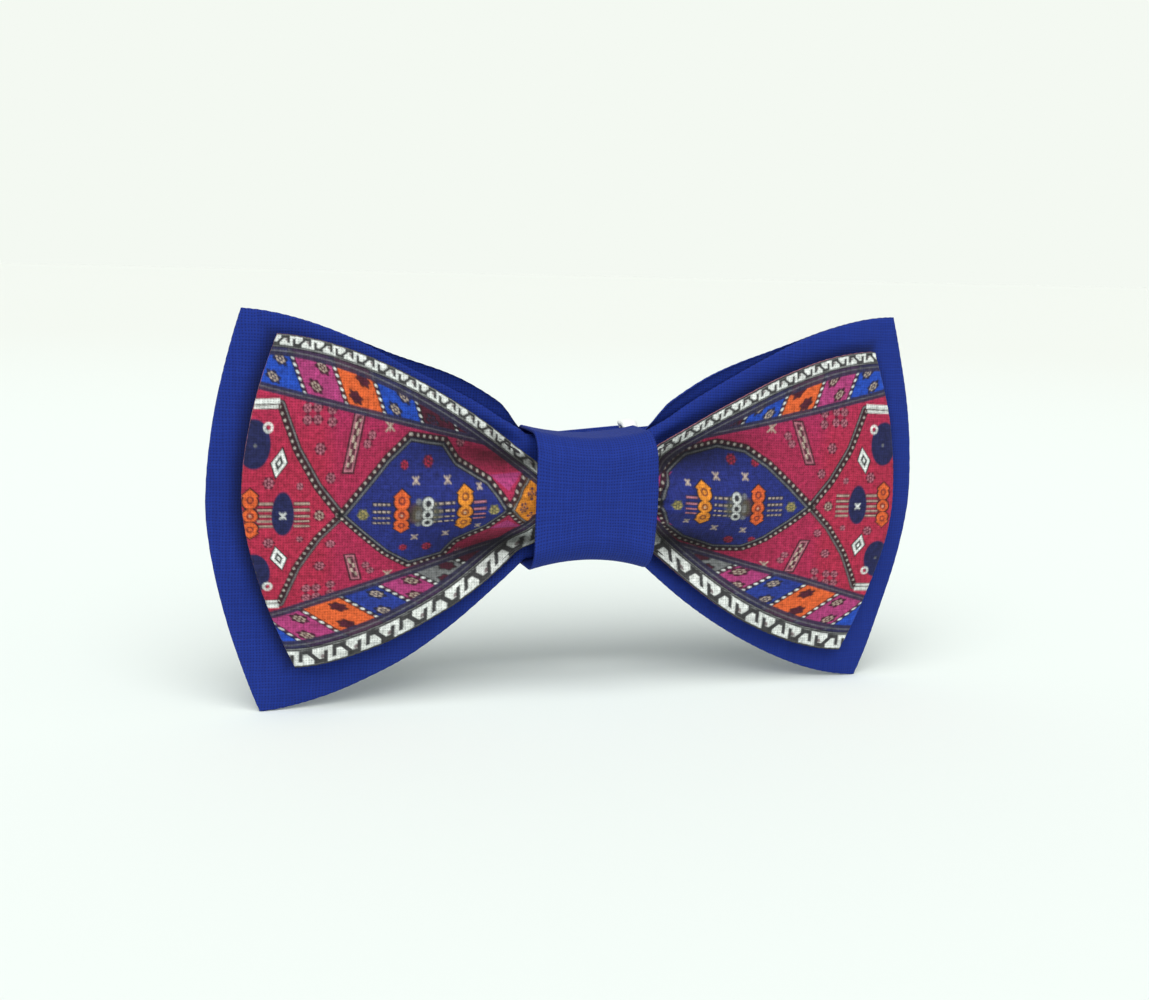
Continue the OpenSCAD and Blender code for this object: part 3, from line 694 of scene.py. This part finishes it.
# The crimson field with all that lies on it, the same above and below the drawing's middle line.
# Places are the distances a and q of the motif's middle, and sizes come after them.
def paintField(cloth, onRight):
    medallion = drawing["medallionRight" if onRight else "medallionLeft"]
    a, q = cloth["a"], np.abs(cloth["q"])
    lay(cloth, np.full_like(a, -1), "magenta", 0.5 * np.clip(smooth(7, 15, q) * cloth["up"], 0, 1))
    lay(cloth, drawing["crossOuter"] + 1.6 - a, "red", 0.55, 2.5)
    lay(cloth, insideOf(cloth, medallion), "medallion")
    lay(cloth, insideOf(cloth, drawing["hexagon"]), "amber")
    half = dict(cloth, q=q)
    triangle = np.abs(a - drawing["crossInner"]) * 0.75 - (q - 2.3)
    lay(half, np.maximum(triangle, q - 4.2), "pink")
    # The outer part: an oval with combs, flowers, framed lozenges and half ovals at the end edge.
    drawAll(half, (
        (comb, 50.7, 1.15, 5, 0.85), (comb, 45.3, 1.15, 5, 0.85),
        (lay, disc(half, 48.1, 0, 3.3, 0.5), "navy"), (star, 48.1, 0, 0.4, "white"),
        (lobed, 52.9, 3.6, "orange", "maroon"), (rosette, 42.7, 0, 0.85, 6, "pale"),
        (rosette, 50.2, 4.5), (rosette, 45.6, 4.0, 0.5, 4)))
    lozenge = np.abs(a - 48.7 + 0.25 * (q - 7.2)) / 1.05 + np.abs(q - 7.2) / 1.75
    for size, name in ((1.3, "black"), (1.08, "white"), (0.62, "grey"), (0.5, "black"),
                       (0.26, "white")):
        lay(half, lozenge - size, name)
    # Then frames, flowers and clusters in the field above and below the X.
    long, lean = (2.3, -0.4) if onRight else (np.where(cloth["up"] > 0, 3.1, 1.6), -0.22)
    zig = 0.24 * np.sign(np.sin(q * 3.6))
    drawAll(half, (
        (lay, disc(half, 52.4, 9.8, 3.4, 0.72), "navy"),
        (lay, np.abs(disc(half, 50.3, 12.0, 0.55)) - 0.2, "white", 0.85),
        (lay, disc(half, 52.2, 9.6, 0.25), "grey", 0.7),
        (lay, slab(half, 37.6, 9.5, 0.95, long + 0.95, lean), "black", 0.9),
        (lay, slab(half, 37.6, 9.5, 0.66, long + 0.66, lean), "rose", 0.9),
        (lay, slab(half, 37.6, 9.5, 0.42, long + 0.42, lean), "maroon", 0.9),
        (lay, slab(dict(half, a=a + zig), 37.6, 9.5, 0.17, long, lean), "pale"),
        (cluster, 43.8, 13.6), (cluster, 40.9, 13.2, 1), (rosette, 42.6, 8.9),
        (rosette, 41.0, 5.0, 0.75), (rosette, 35.6, 9.3, 0.62, 4), (rosette, 34.9, 10.4, 0.62, 4),
        (star, 32.2, 11.4), (rosette, 29.8, 13.0, 0.6), (rosette, 21.0, 8.6, 0.7)))
    # The medallion: combs, a small vase, two lobed motifs, stars and flowers.
    drawAll(half, (
        (comb, 33.3, 1.35, 4, 0.95, "pale", 4), (comb, 24.0, 1.5, 4, 0.95, "pale", 3),
        (comb, 18.7, 0.9, 4, 0.85, "rose"),
        (lay, disc(half, 28.5, 0, 1.5, 0.9), "maroon", 0.8, 0.5),
        (lay, disc(half, 26.7, 0, 2.0, 1.15), "olive", 0.65, 0.9)))
    for dq in (0.0, 1.5):
        far = np.hypot(a - 26.4, q - dq)
        lay(half, far - 0.95, "black", 0.7)
        lay(half, np.abs(far - 0.62) - 0.2, "white", 0.7)
        lay(half, disc(half, 27.8, dq + 0.3, 0.42), "grey", 0.7)
    drawAll(half, (
        (lobed, 30.3, 3.1, "orange", "maroon"), (lobed, 20.9, 3.3, "amber", "maroon"),
        (rosette, 36.1, 0, 0.85, 6, "straw", "olive"), (rosette, 16.5, 0, 0.8, 6, "straw", "olive"),
        (star, 28.2, 4.4, 0.42), (star, 23.4, 4.2, 0.42), (star, 18.6, 3.1, 0.3),
        (rosette, 26.2, 6.6, 0.8, 6, "red"), (rosette, 29.9, 6.4, 0.62, 6, "red"),
        # The hexagon against the wrap.
        (rosette, 11.6, 0, 0.75, 6, "amber", "navy"), (rosette, 10.1, 1.7, 0.7, 4, "amber", "navy"),
        # The bands, and the two white bars at the ends of the X.
        (dottedBand, drawing["arm"]), (dottedBand, medallion), (dottedBand, drawing["hexagon"]),
        (lay, slab(half, 53.0, 15.5, 4.4, 0.35), "white", 0.9),
        (lay, slab(half, 53.0, 14.75, 4.2, 0.22), "white", 0.8)))
    cloth["colour"] = half["colour"]


# The stripe of slanting cells. Each cell has its ink and two flowers, and a row of white dots on a
# dark line parts it from the next.
def paintStripe(cloth, z, low, high, edges, slant, inks):
    middle = (low + high) / 2
    inStripe = np.maximum(low - z, z - high)
    shifted = cloth["a"] - slant * (z - middle)
    for k, name in enumerate(inks):
        outerEdge = edges[k - 1] if k else 90.0
        cell = np.maximum(inStripe, np.maximum(shifted - outerEdge, edges[k] - shifted))
        lay(cloth, cell, name)
        heart = "pale" if name in ("blue", "deepBlue", "pink") else "maroon"
        rim = "maroon" if name in ("orange", "pink", "grey") else "slate"
        middleA = edges[k] + (min(outerEdge, edges[k] + 6.0) - edges[k]) / 2
        for shiftA, part in ((-1.05, -0.22), (1.05, 0.22)):
            u = shifted - middleA - shiftA
            w = z - middle - part * (high - low) * np.sign(slant) * -1
            far = np.hypot(u, w)
            notch = np.cos(6 * np.arctan2(w, u))
            lay(cloth, np.maximum(far - 0.98 * (1 + 0.14 * notch), inStripe), "black", 0.85)
            lay(cloth, np.maximum(far - 0.78 * (1 + 0.14 * notch), inStripe), rim, 0.85)
            lay(cloth, np.abs(far - 0.5) - 0.12 + 0.08 * notch, heart, 0.8)
            lay(cloth, far - 0.17, heart, 0.9)
    for edge in edges[:len(inks)]:
        u = shifted - edge
        lay(cloth, np.maximum(np.abs(u) - 0.42, inStripe), "black", 0.85)
        step = np.mod(z - low, 0.95) - 0.475
        lay(cloth, np.maximum(np.hypot(u, step) - 0.24, inStripe), "white", 0.95)


# The three lines between the border and the stripe, level being the height above their middle.
def paintLines(cloth, level):
    lay(cloth, np.abs(level) - 0.85, "slate", 0.95)
    lay(cloth, np.abs(level + 0.15) - 0.1, "grey", 0.55)
    lay(cloth, np.abs(level - 0.62) - 0.24, "black", 0.95)


# The border: white, with black hooks that run along it. Each repeat is a leaning bar with one arm
# each way and a bead, and l is the length along the border and e the distance in from the edge.
def paintBorder(cloth, l, e, width):
    lay(cloth, e - width, "white", 0.98)
    unit = width / 2.9
    period = 5.4 * unit
    u = np.mod(l, period) - period / 2
    w = e - width / 2
    bar = np.maximum(np.abs(u - 1.1 * w) - 0.42 * unit, np.abs(w) - 1.1 * unit)
    hem = np.minimum(e - 0.3 * unit, width - e - 0.3 * unit)
    hooks = np.minimum(bar, hem)
    for hand in (1, -1):
        for du, dw, halfU, halfW in ((1.25, 0.86, 1.1, 0.36), (2.0, 0.1, 0.34, 0.72)):
            arm = np.maximum(np.abs(u - hand * du * unit) - halfU * unit,
                             np.abs(w - hand * dw * unit) - halfW * unit)
            hooks = np.minimum(hooks, arm)
    lay(cloth, np.maximum(hooks, e - width), "black", 0.95)
    spot = np.hypot(np.mod(l + 0.27 * period, period) - period / 2, w + 0.15 * unit)
    lay(cloth, spot - 0.3 * unit, "maroon", 0.75)


# The stripe above the drawing and the one below it: the inner edges of the cells, from the end of
# the wing inwards, their slant and their inks.
stripes = (
    (True, (46.1, 39.9, 34.0, 27.9, 22.0, 14.0), 0.4,
     ("blue", "pink", "orange", "blue", "maroon", "maroon")),
    (False, (47.7, 42.2, 36.0, 30.6, 25.6, 20.1, 12.0), 1.15,
     ("blue", "pink", "orange", "deepBlue", "pink", "grey", "maroon")))


# Colours of the print at points of a wing, darkened by painted shade along the valleys beside the
# wrap: x and z are places on the face, and fromEdge is how far in from the upper or lower edge each
# point lies. On the right wing the X lies further in, and the print between it and the wrap is a
# little larger. A line is a height, a slope and a distance a.
def printAndShadeOfWing(x, z, fromEdge):
    right = x > 0
    a = np.abs(x)
    shift = drawing["rightShift"]
    crossing = drawing["crossOuter"] - shift
    inner = drawing["crossOuter"] - (crossing - a) * drawing["rightScale"]
    a = np.where(right, np.where(a < crossing, inner, a + shift), a)
    middle = drawing["middle"] - drawing["outerDrop"] * smooth(14, 30, a)
    middle = middle + np.where(right, drawing["rightLift"], 0)
    (upZ, upSlope, upA), (downZ, downSlope, downA) = drawing["upperLine"], drawing["lowerLine"]
    upper = upZ + upSlope * (a - upA)
    lower = -(downZ + downSlope * (a - downA))
    reach = (upper - lower) / 2
    above = z > middle
    q = (z - middle) * reach / np.where(above, upper - middle, middle - lower)
    cloth = blankCloth(a, q, np.where(above, 1.0, 0.0))
    paintField(cloth, right.any())
    # Stripes, lines and borders lie along the real edges, so they use z itself.
    borderIn = np.where(above, drawing["topBorder"], drawing["bottomBorder"])
    lineZ = np.where(above, z + fromEdge - borderIn, z - fromEdge + borderIn)
    for isAbove, edges, slant, inks in stripes:
        here = above == isAbove
        part = {key: value[here] for key, value in cloth.items()}
        inner = (upper if isAbove else lower)[here]
        border = lineZ[here]
        low, high = (inner, border) if isAbove else (border, inner)
        paintStripe(part, z[here], low, high, edges, slant, inks)
        level = (z[here] - inner) * (1 if isAbove else -1)
        lay(part, np.abs(level + 0.1) - 0.62, "slate", 0.95)
        lay(part, np.abs(level + 0.1) - 0.1, "grey", 0.5)
        paintLines(part, (z[here] - border) * (1 if isAbove else -1) + 0.55)
        along = np.abs(x[here]) * (1.04 if isAbove else 1.06)
        paintBorder(part, along, fromEdge[here], borderIn[here])
        cloth["colour"][here] = part["colour"]
    mottle = np.sin(5.1 * x + 3.7 * z) * np.sin(4.3 * z - 2.9 * x)
    grain = 1 + 0.07 * cloth["uneven"] + 0.05 * mottle
    # Painted shade: the print is darkened along both valleys beside the wrap, where the gathered
    # cloth lies in shade.
    far = np.abs(x)
    fromShadedValley = np.abs(np.abs(z) - 6.0 - 0.15 * (far - 10)) / (1.5 + 0.12 * (far - 10))
    grain *= 1 - 0.8 * np.exp(-fromShadedValley ** 2) * (1 - smooth(15, 36, far))
    return np.clip(cloth["colour"] * grain[..., None], 0, 1)


# Printed cloth of one wing: a fine face that carries the print and a coarser back.
def printedPiece(name, side, hand, columns, rowCount, every):
    shares = np.concatenate([np.linspace(0.0, 0.16, 6), crowded(0.165, 1, columns, 0.25)]) * hand
    rows = bothSides(crowded(0, 1, rowCount, 0.3))
    s, v, outer, inner = clothFaces(1, side, shares, rows)
    points, faces = skinBetween(outer, inner, every)
    piece = makePiece(name, points, faces, points[:, [0, 2]])
    fromEdge = (1 - np.abs(v)) * halfHeight(s, 1)
    # The face colours are the print with painted shade along the valleys beside the wrap.
    face = printAndShadeOfWing(outer[..., 0], outer[..., 2], fromEdge).reshape(-1, 3)
    colours = np.ones((len(points), 4))
    colours[:len(face), :3] = face
    colours[len(face):, :3] = linear(ink["rose"])[:3]
    layer = piece.data.color_attributes.new("printAndValleyShade", "FLOAT_COLOR", "POINT")
    layer.data.foreach_set("color", colours.astype(np.float32).ravel())
    return piece


for handName, hand in (("Left", -1), ("Right", 1)):
    for faceName, side, node, grid in (("Front", 1, "inner_front_panel", (262, 146, 10)),
                                       ("Back", -1, "inner_back_panel", (120, 70, 6))):
        piece = printedPiece("printed" + faceName + handName, side, hand, *grid)
        finishPiece(piece, printedCotton, "bow", [node])
print("printed bow made")


# The centre wrap: a tube of folded cloth round both bows and the band. A turn of it is a rectangle
# with round corners in the depth and height, and its section is a flat strip with round edges.
wrap = {
    "halfWidth": 9.7, "halfHeight": 11.2, "dip": 1.2, "arch": 1.6, "front": -13.3, "swell": 0.5,
    "frontRadius": 4.2, "backRadius": 2.2, "cloth": 0.55, "lining": (0.6, 0.85), "liningReach": 0.6,
    "bellyRight": 0.7, "crease": 0.1, "steps": (41, 34, 14), "liningSteps": (15, 12, 6),
}


# Points of the wrap. share runs across it from -1 to 1, off is the depth under its outer face, and
# corner, angle and ahead say where on the turn: round one corner, or part of the way to the next.
# In front it has a fold near each edge and is never quite flat.
def wrapPoint(share, off, corner, angle, ahead):
    flat = 1 - share ** 2
    top = wrap["halfHeight"] - wrap["dip"] * flat
    foot = -wrap["halfHeight"] + wrap["arch"] * flat
    front = wrap["front"] - wrap["swell"] * flat
    rf, rb = wrap["frontRadius"], wrap["backRadius"]
    zero = 0 * flat
    depths = np.stack([zero - rb, front + rf, front + rf, zero - rb])
    heights = np.stack([top - rb, top - rf, foot + rf, foot + rb])
    radii = np.array([rb, rf, rf, rb])
    following = (corner + 1) % 4
    angle, ahead = angle[:, None], ahead[:, None]
    radius = (1 - ahead) * radii[corner, None] + ahead * radii[following, None] - off
    y = (1 - ahead) * depths[corner] + ahead * depths[following] + radius * np.cos(angle)
    z = (1 - ahead) * heights[corner] + ahead * heights[following] + radius * np.sin(angle)
    belly = wrap["bellyRight"] * smooth(0.3, 1, share) * (1 - (z / wrap["halfHeight"]) ** 2)
    x = share * wrap["halfWidth"] + belly * smooth(-2, -8, y)
    leftCrease = np.exp(-((share + 0.9) / 0.035) ** 2)
    rightCrease = 0.45 * np.exp(-((share - 0.62 - 0.006 * z) / 0.07) ** 2)
    sway = 0.6 * np.sin(2.3 * share + 0.21 * z) + 0.4 * np.sin(5.2 * share - 0.33 * z + 1)
    relief = wrap["crease"] * (leftCrease + rightCrease + 0.8 * sway) * smooth(-8, -13, y)
    return np.stack([x, y + relief, z], -1)


# A layer of the wrap between two depths, as rings of points round its strip of a section. It is
# made of turns of points across it, along each straight and round each corner.
def wrapPiece(name, reach, nearOff, farOff, across, straight, cornerSteps):
    turn = np.linspace(0, 1, straight, endpoint=False)
    bend = np.linspace(0, 1, cornerSteps, endpoint=False)
    corner = np.repeat(np.arange(4), straight + cornerSteps)
    ahead = np.tile(np.concatenate([0 * bend, turn]), 4)
    angle = (corner + np.tile(np.concatenate([bend, 1 + 0 * turn]), 4)) * math.pi / 2
    half = (farOff - nearOff) / 2
    middle = nearOff + half
    edge = np.linspace(-1, 1, 7)[1:-1] * math.pi / 2
    flat = reach - half / wrap["halfWidth"]
    wide = np.linspace(-flat, flat, across)
    roundEdge = flat + np.cos(edge) * half / wrap["halfWidth"]
    share = np.concatenate([wide, roundEdge, wide[::-1], -roundEdge])
    off = np.concatenate([0 * wide + nearOff, middle + half * np.sin(edge), 0 * wide + farOff,
                          middle - half * np.sin(edge)])
    rings = wrapPoint(share, off, corner, angle, ahead)
    points, faces = tubeOf(rings, loop=True)
    step = np.linalg.norm(np.diff(rings[:, across // 2], axis=0), axis=1)
    along = np.concatenate([[0], np.cumsum(step)])
    uv = np.stack([rings[..., 0], np.repeat(along[:, None], rings.shape[1], 1)], -1).reshape(-1, 2)
    return makePiece(name, points, faces, uv)


wrapCloth = wrapPiece("wrapCloth", 1, 0, wrap["cloth"], *wrap["steps"])
finishPiece(wrapCloth, blueCotton, "bow", ["centre_wrap"])
wrapLining = wrapPiece("wrapInterlining", wrap["liningReach"], *wrap["lining"],
                       *wrap["liningSteps"])
finishPiece(wrapLining, interlining, "bow", ["wrap_interlining"])
print("centre wrap made")


# The neck band: a flat tube of cloth, folded behind the wings. Places on it are in the band's own
# frame, which is tilted across the back, with x along the band.
band = {
    "width": 15, "cloth": 1.2, "tilt": 5.5, "lift": 1, "firstFold": 46, "innerFold": 14,
    "lastFold": 50.5,
    "foldRadius": 1.4, "lastRadius": 1.7, "layers": (-1.85, 0.95, 3.75, 7.15), "hookX": -17.6,
    "hookRadius": 2.075, "slideX": 12.6, "ringX": -38, "turnIn": 7, "spacing": 1.6, "bends": 14,
    "pressed": 0.3, "cutEnd": 0.5, "hingeIn": 0.6, "thread": 0.36, "tackIn": 1.6, "tackHalf": 5.5,
    "tackPitch": 0.62, "tackWidth": 0.75,
}


# The band's frame turned into the frame of the whole bow.
def onBand(points):
    tilt = math.radians(band["tilt"])
    x, y, z = np.moveaxis(np.asarray(points, float), -1, 0)
    return np.stack([x * math.cos(tilt) - z * math.sin(tilt), y,
                     x * math.sin(tilt) + z * math.cos(tilt) + band["lift"]], -1)


# A path in x and y from straight runs and half turns. A run goes to an x, and a turn has a radius,
# below 0 where it turns towards the front. Gives the points and the direction square to the path.
def foldedPath(x, y, heading, moves):
    points, square = [], []
    for kind, value in moves:
        if kind == "to":
            count = max(2, int(abs(value - x) / band["spacing"]))
            place = np.linspace(x, value, count, endpoint=False)
            points.append(np.stack([place, 0 * place + y], 1))
            square.append(np.tile([0.0, heading], (len(place), 1)))
            x = value
        else:
            turned = np.linspace(0, math.pi, band["bends"], endpoint=False)
            sign = math.copysign(1, value)
            bent = x + heading * abs(value) * np.sin(turned)
            points.append(np.stack([bent, y + value * (1 - np.cos(turned))], 1))
            square.append(np.stack([-sign * np.sin(turned), heading * np.cos(turned)], 1))
            y, heading = y + 2 * value, -heading
    points.append(np.array([[x, y]]))
    square.append(np.array([[0.0, heading]]))
    return np.concatenate(points), np.concatenate(square)


# A flat strip carried along such a path. Its section is a flattened ellipse with full edges, and
# ends, in millimetres, are rounded off at the start and the finish.
def stripAlong(path, square, halfWidth, halfDepth, fullness, ends=(0, 0), points=28):
    step = np.concatenate([[0], np.cumsum(np.linalg.norm(np.diff(path, axis=0), axis=1))])
    extra = [np.linspace(0, end, 6)[:-1] for end in ends]
    along = np.unique(np.concatenate([step, extra[0], step[-1] - extra[1]]))
    path = np.stack([np.interp(along, step, path[:, k]) for k in (0, 1)], 1)
    square = np.stack([np.interp(along, step, square[:, k]) for k in (0, 1)], 1)
    square /= np.linalg.norm(square, axis=1)[:, None]
    taper = np.ones(len(along))
    for end, inside in zip(ends, (along, step[-1] - along)):
        if end:
            taper *= np.sqrt(np.clip(1 - (1 - np.clip(inside / end, 0, 1)) ** 2, 0.04, 1))
    turned = np.linspace(0, 2 * math.pi, points, endpoint=False)
    across = np.sign(np.cos(turned)) * np.abs(np.cos(turned)) ** fullness * halfWidth
    deep = np.sign(np.sin(turned)) * np.abs(np.sin(turned)) ** fullness * halfDepth
    off = deep[None, :] * taper[:, None]
    narrowed = across[None, :] - 0.3 * halfDepth * np.sign(across)[None, :] * (1 - taper[:, None])
    rings = np.stack([path[:, :1] + square[:, :1] * off, path[:, 1:] + square[:, 1:] * off,
                      narrowed], -1)
    uv = np.stack([np.repeat(along[:, None], points, 1), rings[..., 2]], -1).reshape(-1, 2)
    return rings, uv


# A length of the band: the strip along a folded path, closed at both ends, on the bow's back.
def bandPiece(name, start, heading, moves, nodes, body=None, ends=(0, 0)):
    path, square = foldedPath(*start, heading, moves)
    rings, uv = stripAlong(path, square, band["width"] / 2, band["cloth"] / 2,
                           band["pressed"], ends)
    piece = makePiece(name, *tubeOf(onBand(rings)), uv)
    finishPiece(piece, blueCotton, body, nodes)
    return piece


fold, last, layers = band["foldRadius"], band["lastRadius"], band["layers"]
slideEndX, ringEndX = band["slideX"] - band["turnIn"], band["ringX"] - band["turnIn"]
returnY = layers[3] + 2 * band["hookRadius"]
bandPiece("bandMiddle", (-band["lastFold"], layers[2]), 1, [
    ("to", -band["innerFold"]), ("turn", -fold), ("to", -band["firstFold"]), ("turn", -fold),
    ("to", band["firstFold"]), ("turn", fold), ("to", band["innerFold"]), ("turn", fold),
    ("to", band["lastFold"])], ["neck_band"], "bow")
rightStrap = bandPiece("rightStrapCloth", (band["lastFold"], layers[2]), 1, [
    ("turn", last), ("to", band["hookX"]), ("turn", band["hookRadius"])],
    ["right_outer_fold", "right_strap"])
leftStrap = bandPiece("leftStrapCloth", (-band["lastFold"], layers[2]), -1, [
    ("turn", last), ("to", band["ringX"]), ("turn", fold), ("to", ringEndX)],
    ["left_outer_fold", "left_strap"], ends=(0, band["cutEnd"]))
rightReturn = bandPiece("rightReturnCloth", (band["hookX"], returnY), 1, [
    ("to", band["slideX"]), ("turn", -fold), ("to", slideEndX)],
    ["right_strap_return"], ends=(0, band["cutEnd"]))

# The last folds turn about upright lines. The straps and the return ride on no body; their
# transforms are baked into their points.
for piece, endBody, foldX in ((rightStrap, "right_end", band["lastFold"]),
                              (leftStrap, "left_end", -band["lastFold"])):
    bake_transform(piece)
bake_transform(rightReturn)
print("neck band made")


# A thread: a round tube along a run of points, the ring of each point square to the way there.
def threadAlong(points, radius, sides=8):
    way = np.gradient(points, axis=0)
    way /= np.linalg.norm(way, axis=1)[:, None]
    side = np.cross(way, [0.3, 0.9, 0.31])
    side /= np.linalg.norm(side, axis=1)[:, None]
    up = np.cross(way, side)
    turned = np.linspace(0, 2 * math.pi, sides, endpoint=False)[None, :, None]
    thick = radius * np.sqrt(np.clip(1 - np.linspace(-1, 1, len(points)) ** 20, 0.05, 1))
    circle = np.cos(turned) * side[:, None] + np.sin(turned) * up[:, None]
    return tubeOf(points[:, None] + thick[:, None, None] * circle)


# A bar tack: a close zigzag of thread across the band on both faces of its two layers.
def barTack(name, x, faces, body, node):
    z = np.arange(-band["tackHalf"], band["tackHalf"] + 0.01, band["tackPitch"] / 6)
    swing = 2 * np.abs(2 * np.mod(z / band["tackPitch"], 1) - 1) - 1
    parts = []
    for y, out in faces:
        lie = y + out * (0.1 + 0.05 * np.cos(math.pi * swing))
        zigzag = onBand(np.stack([x + band["tackWidth"] * swing, lie, z], 1))
        parts.append(threadAlong(zigzag, band["thread"] / 2))
    piece = makePiece(name, *together(parts))
    finishPiece(piece, blueThread, body, [node])


half = band["cloth"] / 2
barTack("slideBarTack", slideEndX + band["tackIn"], [(returnY + half, 1)],
        "adjuster", "slide_bar_tack")
barTack("ringBarTack", ringEndX + band["tackIn"],
        [(layers[3] + 2 * fold + half, 1), (layers[3] - half, -1)], "left_end", "ring_bar_tack")


# The slide, hook and ring of white plastic.
hardware = {
    "frameZ": 8.35, "slideFront": 5.85, "slideBack": 9.9, "slideHalf": 1.3, "slideTaper": 0.9,
    "barHalf": 0.65, "armHalf": 0.55, "plateHalf": 0.65, "crossHalf": 0.8, "corner": 1.25,
    "fullness": 0.6, "slack": 0.8, "tongueHalf": 2.5, "tongueDepth": 0.55, "tongueLength": 3.4,
    "tongueFullness": 0.45, "tip": 0.5, "curl": 1.35, "eyeHalf": 4.7, "eyeLength": 3.4,
    "eyeWall": 0.7, "eyeCorner": 1.4,
}


# A closed loop of plastic round a rectangle with round corners. p and w are the two ways in the
# plane of the loop, inward gives the half width of the plastic there and deep its half depth, each
# a function of p. The section is an ellipse with full sides.
def plasticLoop(p0, p1, halfW, corner, inward, deep, steps=12):
    turned = np.linspace(0, 1, steps)
    centres = np.array([(p1 - corner, halfW - corner), (p0 + corner, halfW - corner),
                        (p0 + corner, corner - halfW), (p1 - corner, corner - halfW)])
    angle = ((np.arange(4)[:, None] + turned[None, :]) * math.pi / 2).ravel()
    centre = np.repeat(centres, steps, 0)
    away = np.stack([np.cos(angle), np.sin(angle)], 1)
    line = centre + corner * away
    following = np.roll(line, -1, 0)
    # Each straight side is longer than 1 mm, and gets points along it too.
    share = np.linspace(0, 1, 5)[:-1]
    gap = np.linalg.norm(following - line, axis=1) > 1
    which = np.repeat(np.arange(len(line)), np.where(gap, len(share), 1))
    part = np.concatenate([share if long else share[:1] for long in gap])[:, None]
    line, away = line[which] * (1 - part) + following[which] * part, away[which]
    around = np.linspace(0, 2 * math.pi, 16, endpoint=False)
    wide = np.sign(np.cos(around)) * np.abs(np.cos(around)) ** hardware["fullness"]
    thick = np.sign(np.sin(around)) * np.abs(np.sin(around)) ** hardware["fullness"]
    outward = inward(line[:, 0])[:, None] * wide[None, :]
    inPlane = line[:, None] + away[:, None] * outward[..., None]
    return inPlane[..., 0], inPlane[..., 1], deep(line[:, 0])[:, None] * thick[None, :]


# A closed loop of points on the band, as the skin of its tube.
def loopOnBand(x, y, z):
    return tubeOf(onBand(np.stack([x, y, z], -1)), loop=True)


# A size that is the same all round a loop.
def steady(size):
    return lambda p: size + 0 * p


# Makes a plastic piece of one or more skins.
def plasticPiece(name, parts, body, node):
    piece = makePiece(name, *together(parts))
    finishPiece(piece, whitePlastic, body, [node])


# The slide: an upright loop of flat arms, which taper to the round bar that the strap ends on.
def slidePiece():
    h = hardware

    def toBar(size):
        taper = (h["slideBack"] - h["slideTaper"], h["slideBack"])
        return lambda y: h[size] + (h["barHalf"] - h[size]) * smooth(*taper, y)

    y, z, x = plasticLoop(h["slideFront"], h["slideBack"], h["frameZ"], h["corner"],
                          toBar("armHalf"), toBar("slideHalf"))
    slide = loopOnBand(band["slideX"] + x, y, z)
    plasticPiece("slidePlastic", [slide], "adjuster", "adjuster_slide")


# A flat frame that hangs on its round bar, with the band's loop inside it, to the side of hand.
def hangingFrame(barX, y, radius, hand):
    h = hardware
    far = radius + band["cloth"] / 2 + h["slack"] + h["crossHalf"]

    def widthAt(p):
        return np.interp(p, [0, h["corner"], far - h["corner"], far],
                         [h["barHalf"], h["armHalf"], h["armHalf"], h["crossHalf"]])

    p, z, deep = plasticLoop(0, far, h["frameZ"], h["corner"], widthAt, steady(h["plateHalf"]))
    return far, loopOnBand(barX + hand * p, y + deep, z)


# The hook: a hanging frame with a flat tongue that runs out from it and curls back.
def hookPiece():
    h = hardware
    y = layers[3] + band["hookRadius"]
    far, frameOfHook = hangingFrame(band["hookX"], y, band["hookRadius"], -1)
    start = band["hookX"] - far
    path, square = foldedPath(start, y - h["plateHalf"] + h["tongueDepth"], -1, [
        ("to", start - h["crossHalf"] - h["tongueLength"]), ("turn", h["curl"]),
        ("to", start - h["crossHalf"])])
    rings = stripAlong(path, square, h["tongueHalf"], h["tongueDepth"], h["tongueFullness"],
                       (0, h["tip"]), 24)[0]
    plasticPiece("hookPlastic", [frameOfHook, tubeOf(onBand(rings))], "hook", "band_hook")


# The ring: a hanging frame with a rectangular eye beyond it, which the hook goes through.
def ringPiece():
    h = hardware
    y = layers[3] + fold
    far, frameOfRing = hangingFrame(band["ringX"], y, fold, 1)
    outer = h["crossHalf"] + h["eyeLength"] + h["eyeWall"]
    p, z, deep = plasticLoop(0, outer, h["eyeHalf"], h["eyeCorner"],
                             steady(h["eyeWall"]), steady(h["plateHalf"]))
    eye = loopOnBand(band["ringX"] + far + p, y + deep, z)
    plasticPiece("ringPlastic", [frameOfRing, eye], "ring", "band_ring")


slidePiece()
hookPiece()
ringPiece()
print("slide, hook and ring made")


# The threads that stay as they are in the CAD model.
for nodeName, thread in (("outer_seam_thread", blueThread), ("outer_waist_thread", blueThread),
                         ("wrap_closing_stitches", blueThread), ("inner_seam_thread", darkThread),
                         ("inner_waist_thread", darkThread)):
    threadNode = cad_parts[nodeName]
    if threadNode.material_slots:
        threadNode.material_slots[0].material = thread
    else:
        threadNode.data.materials.append(thread)
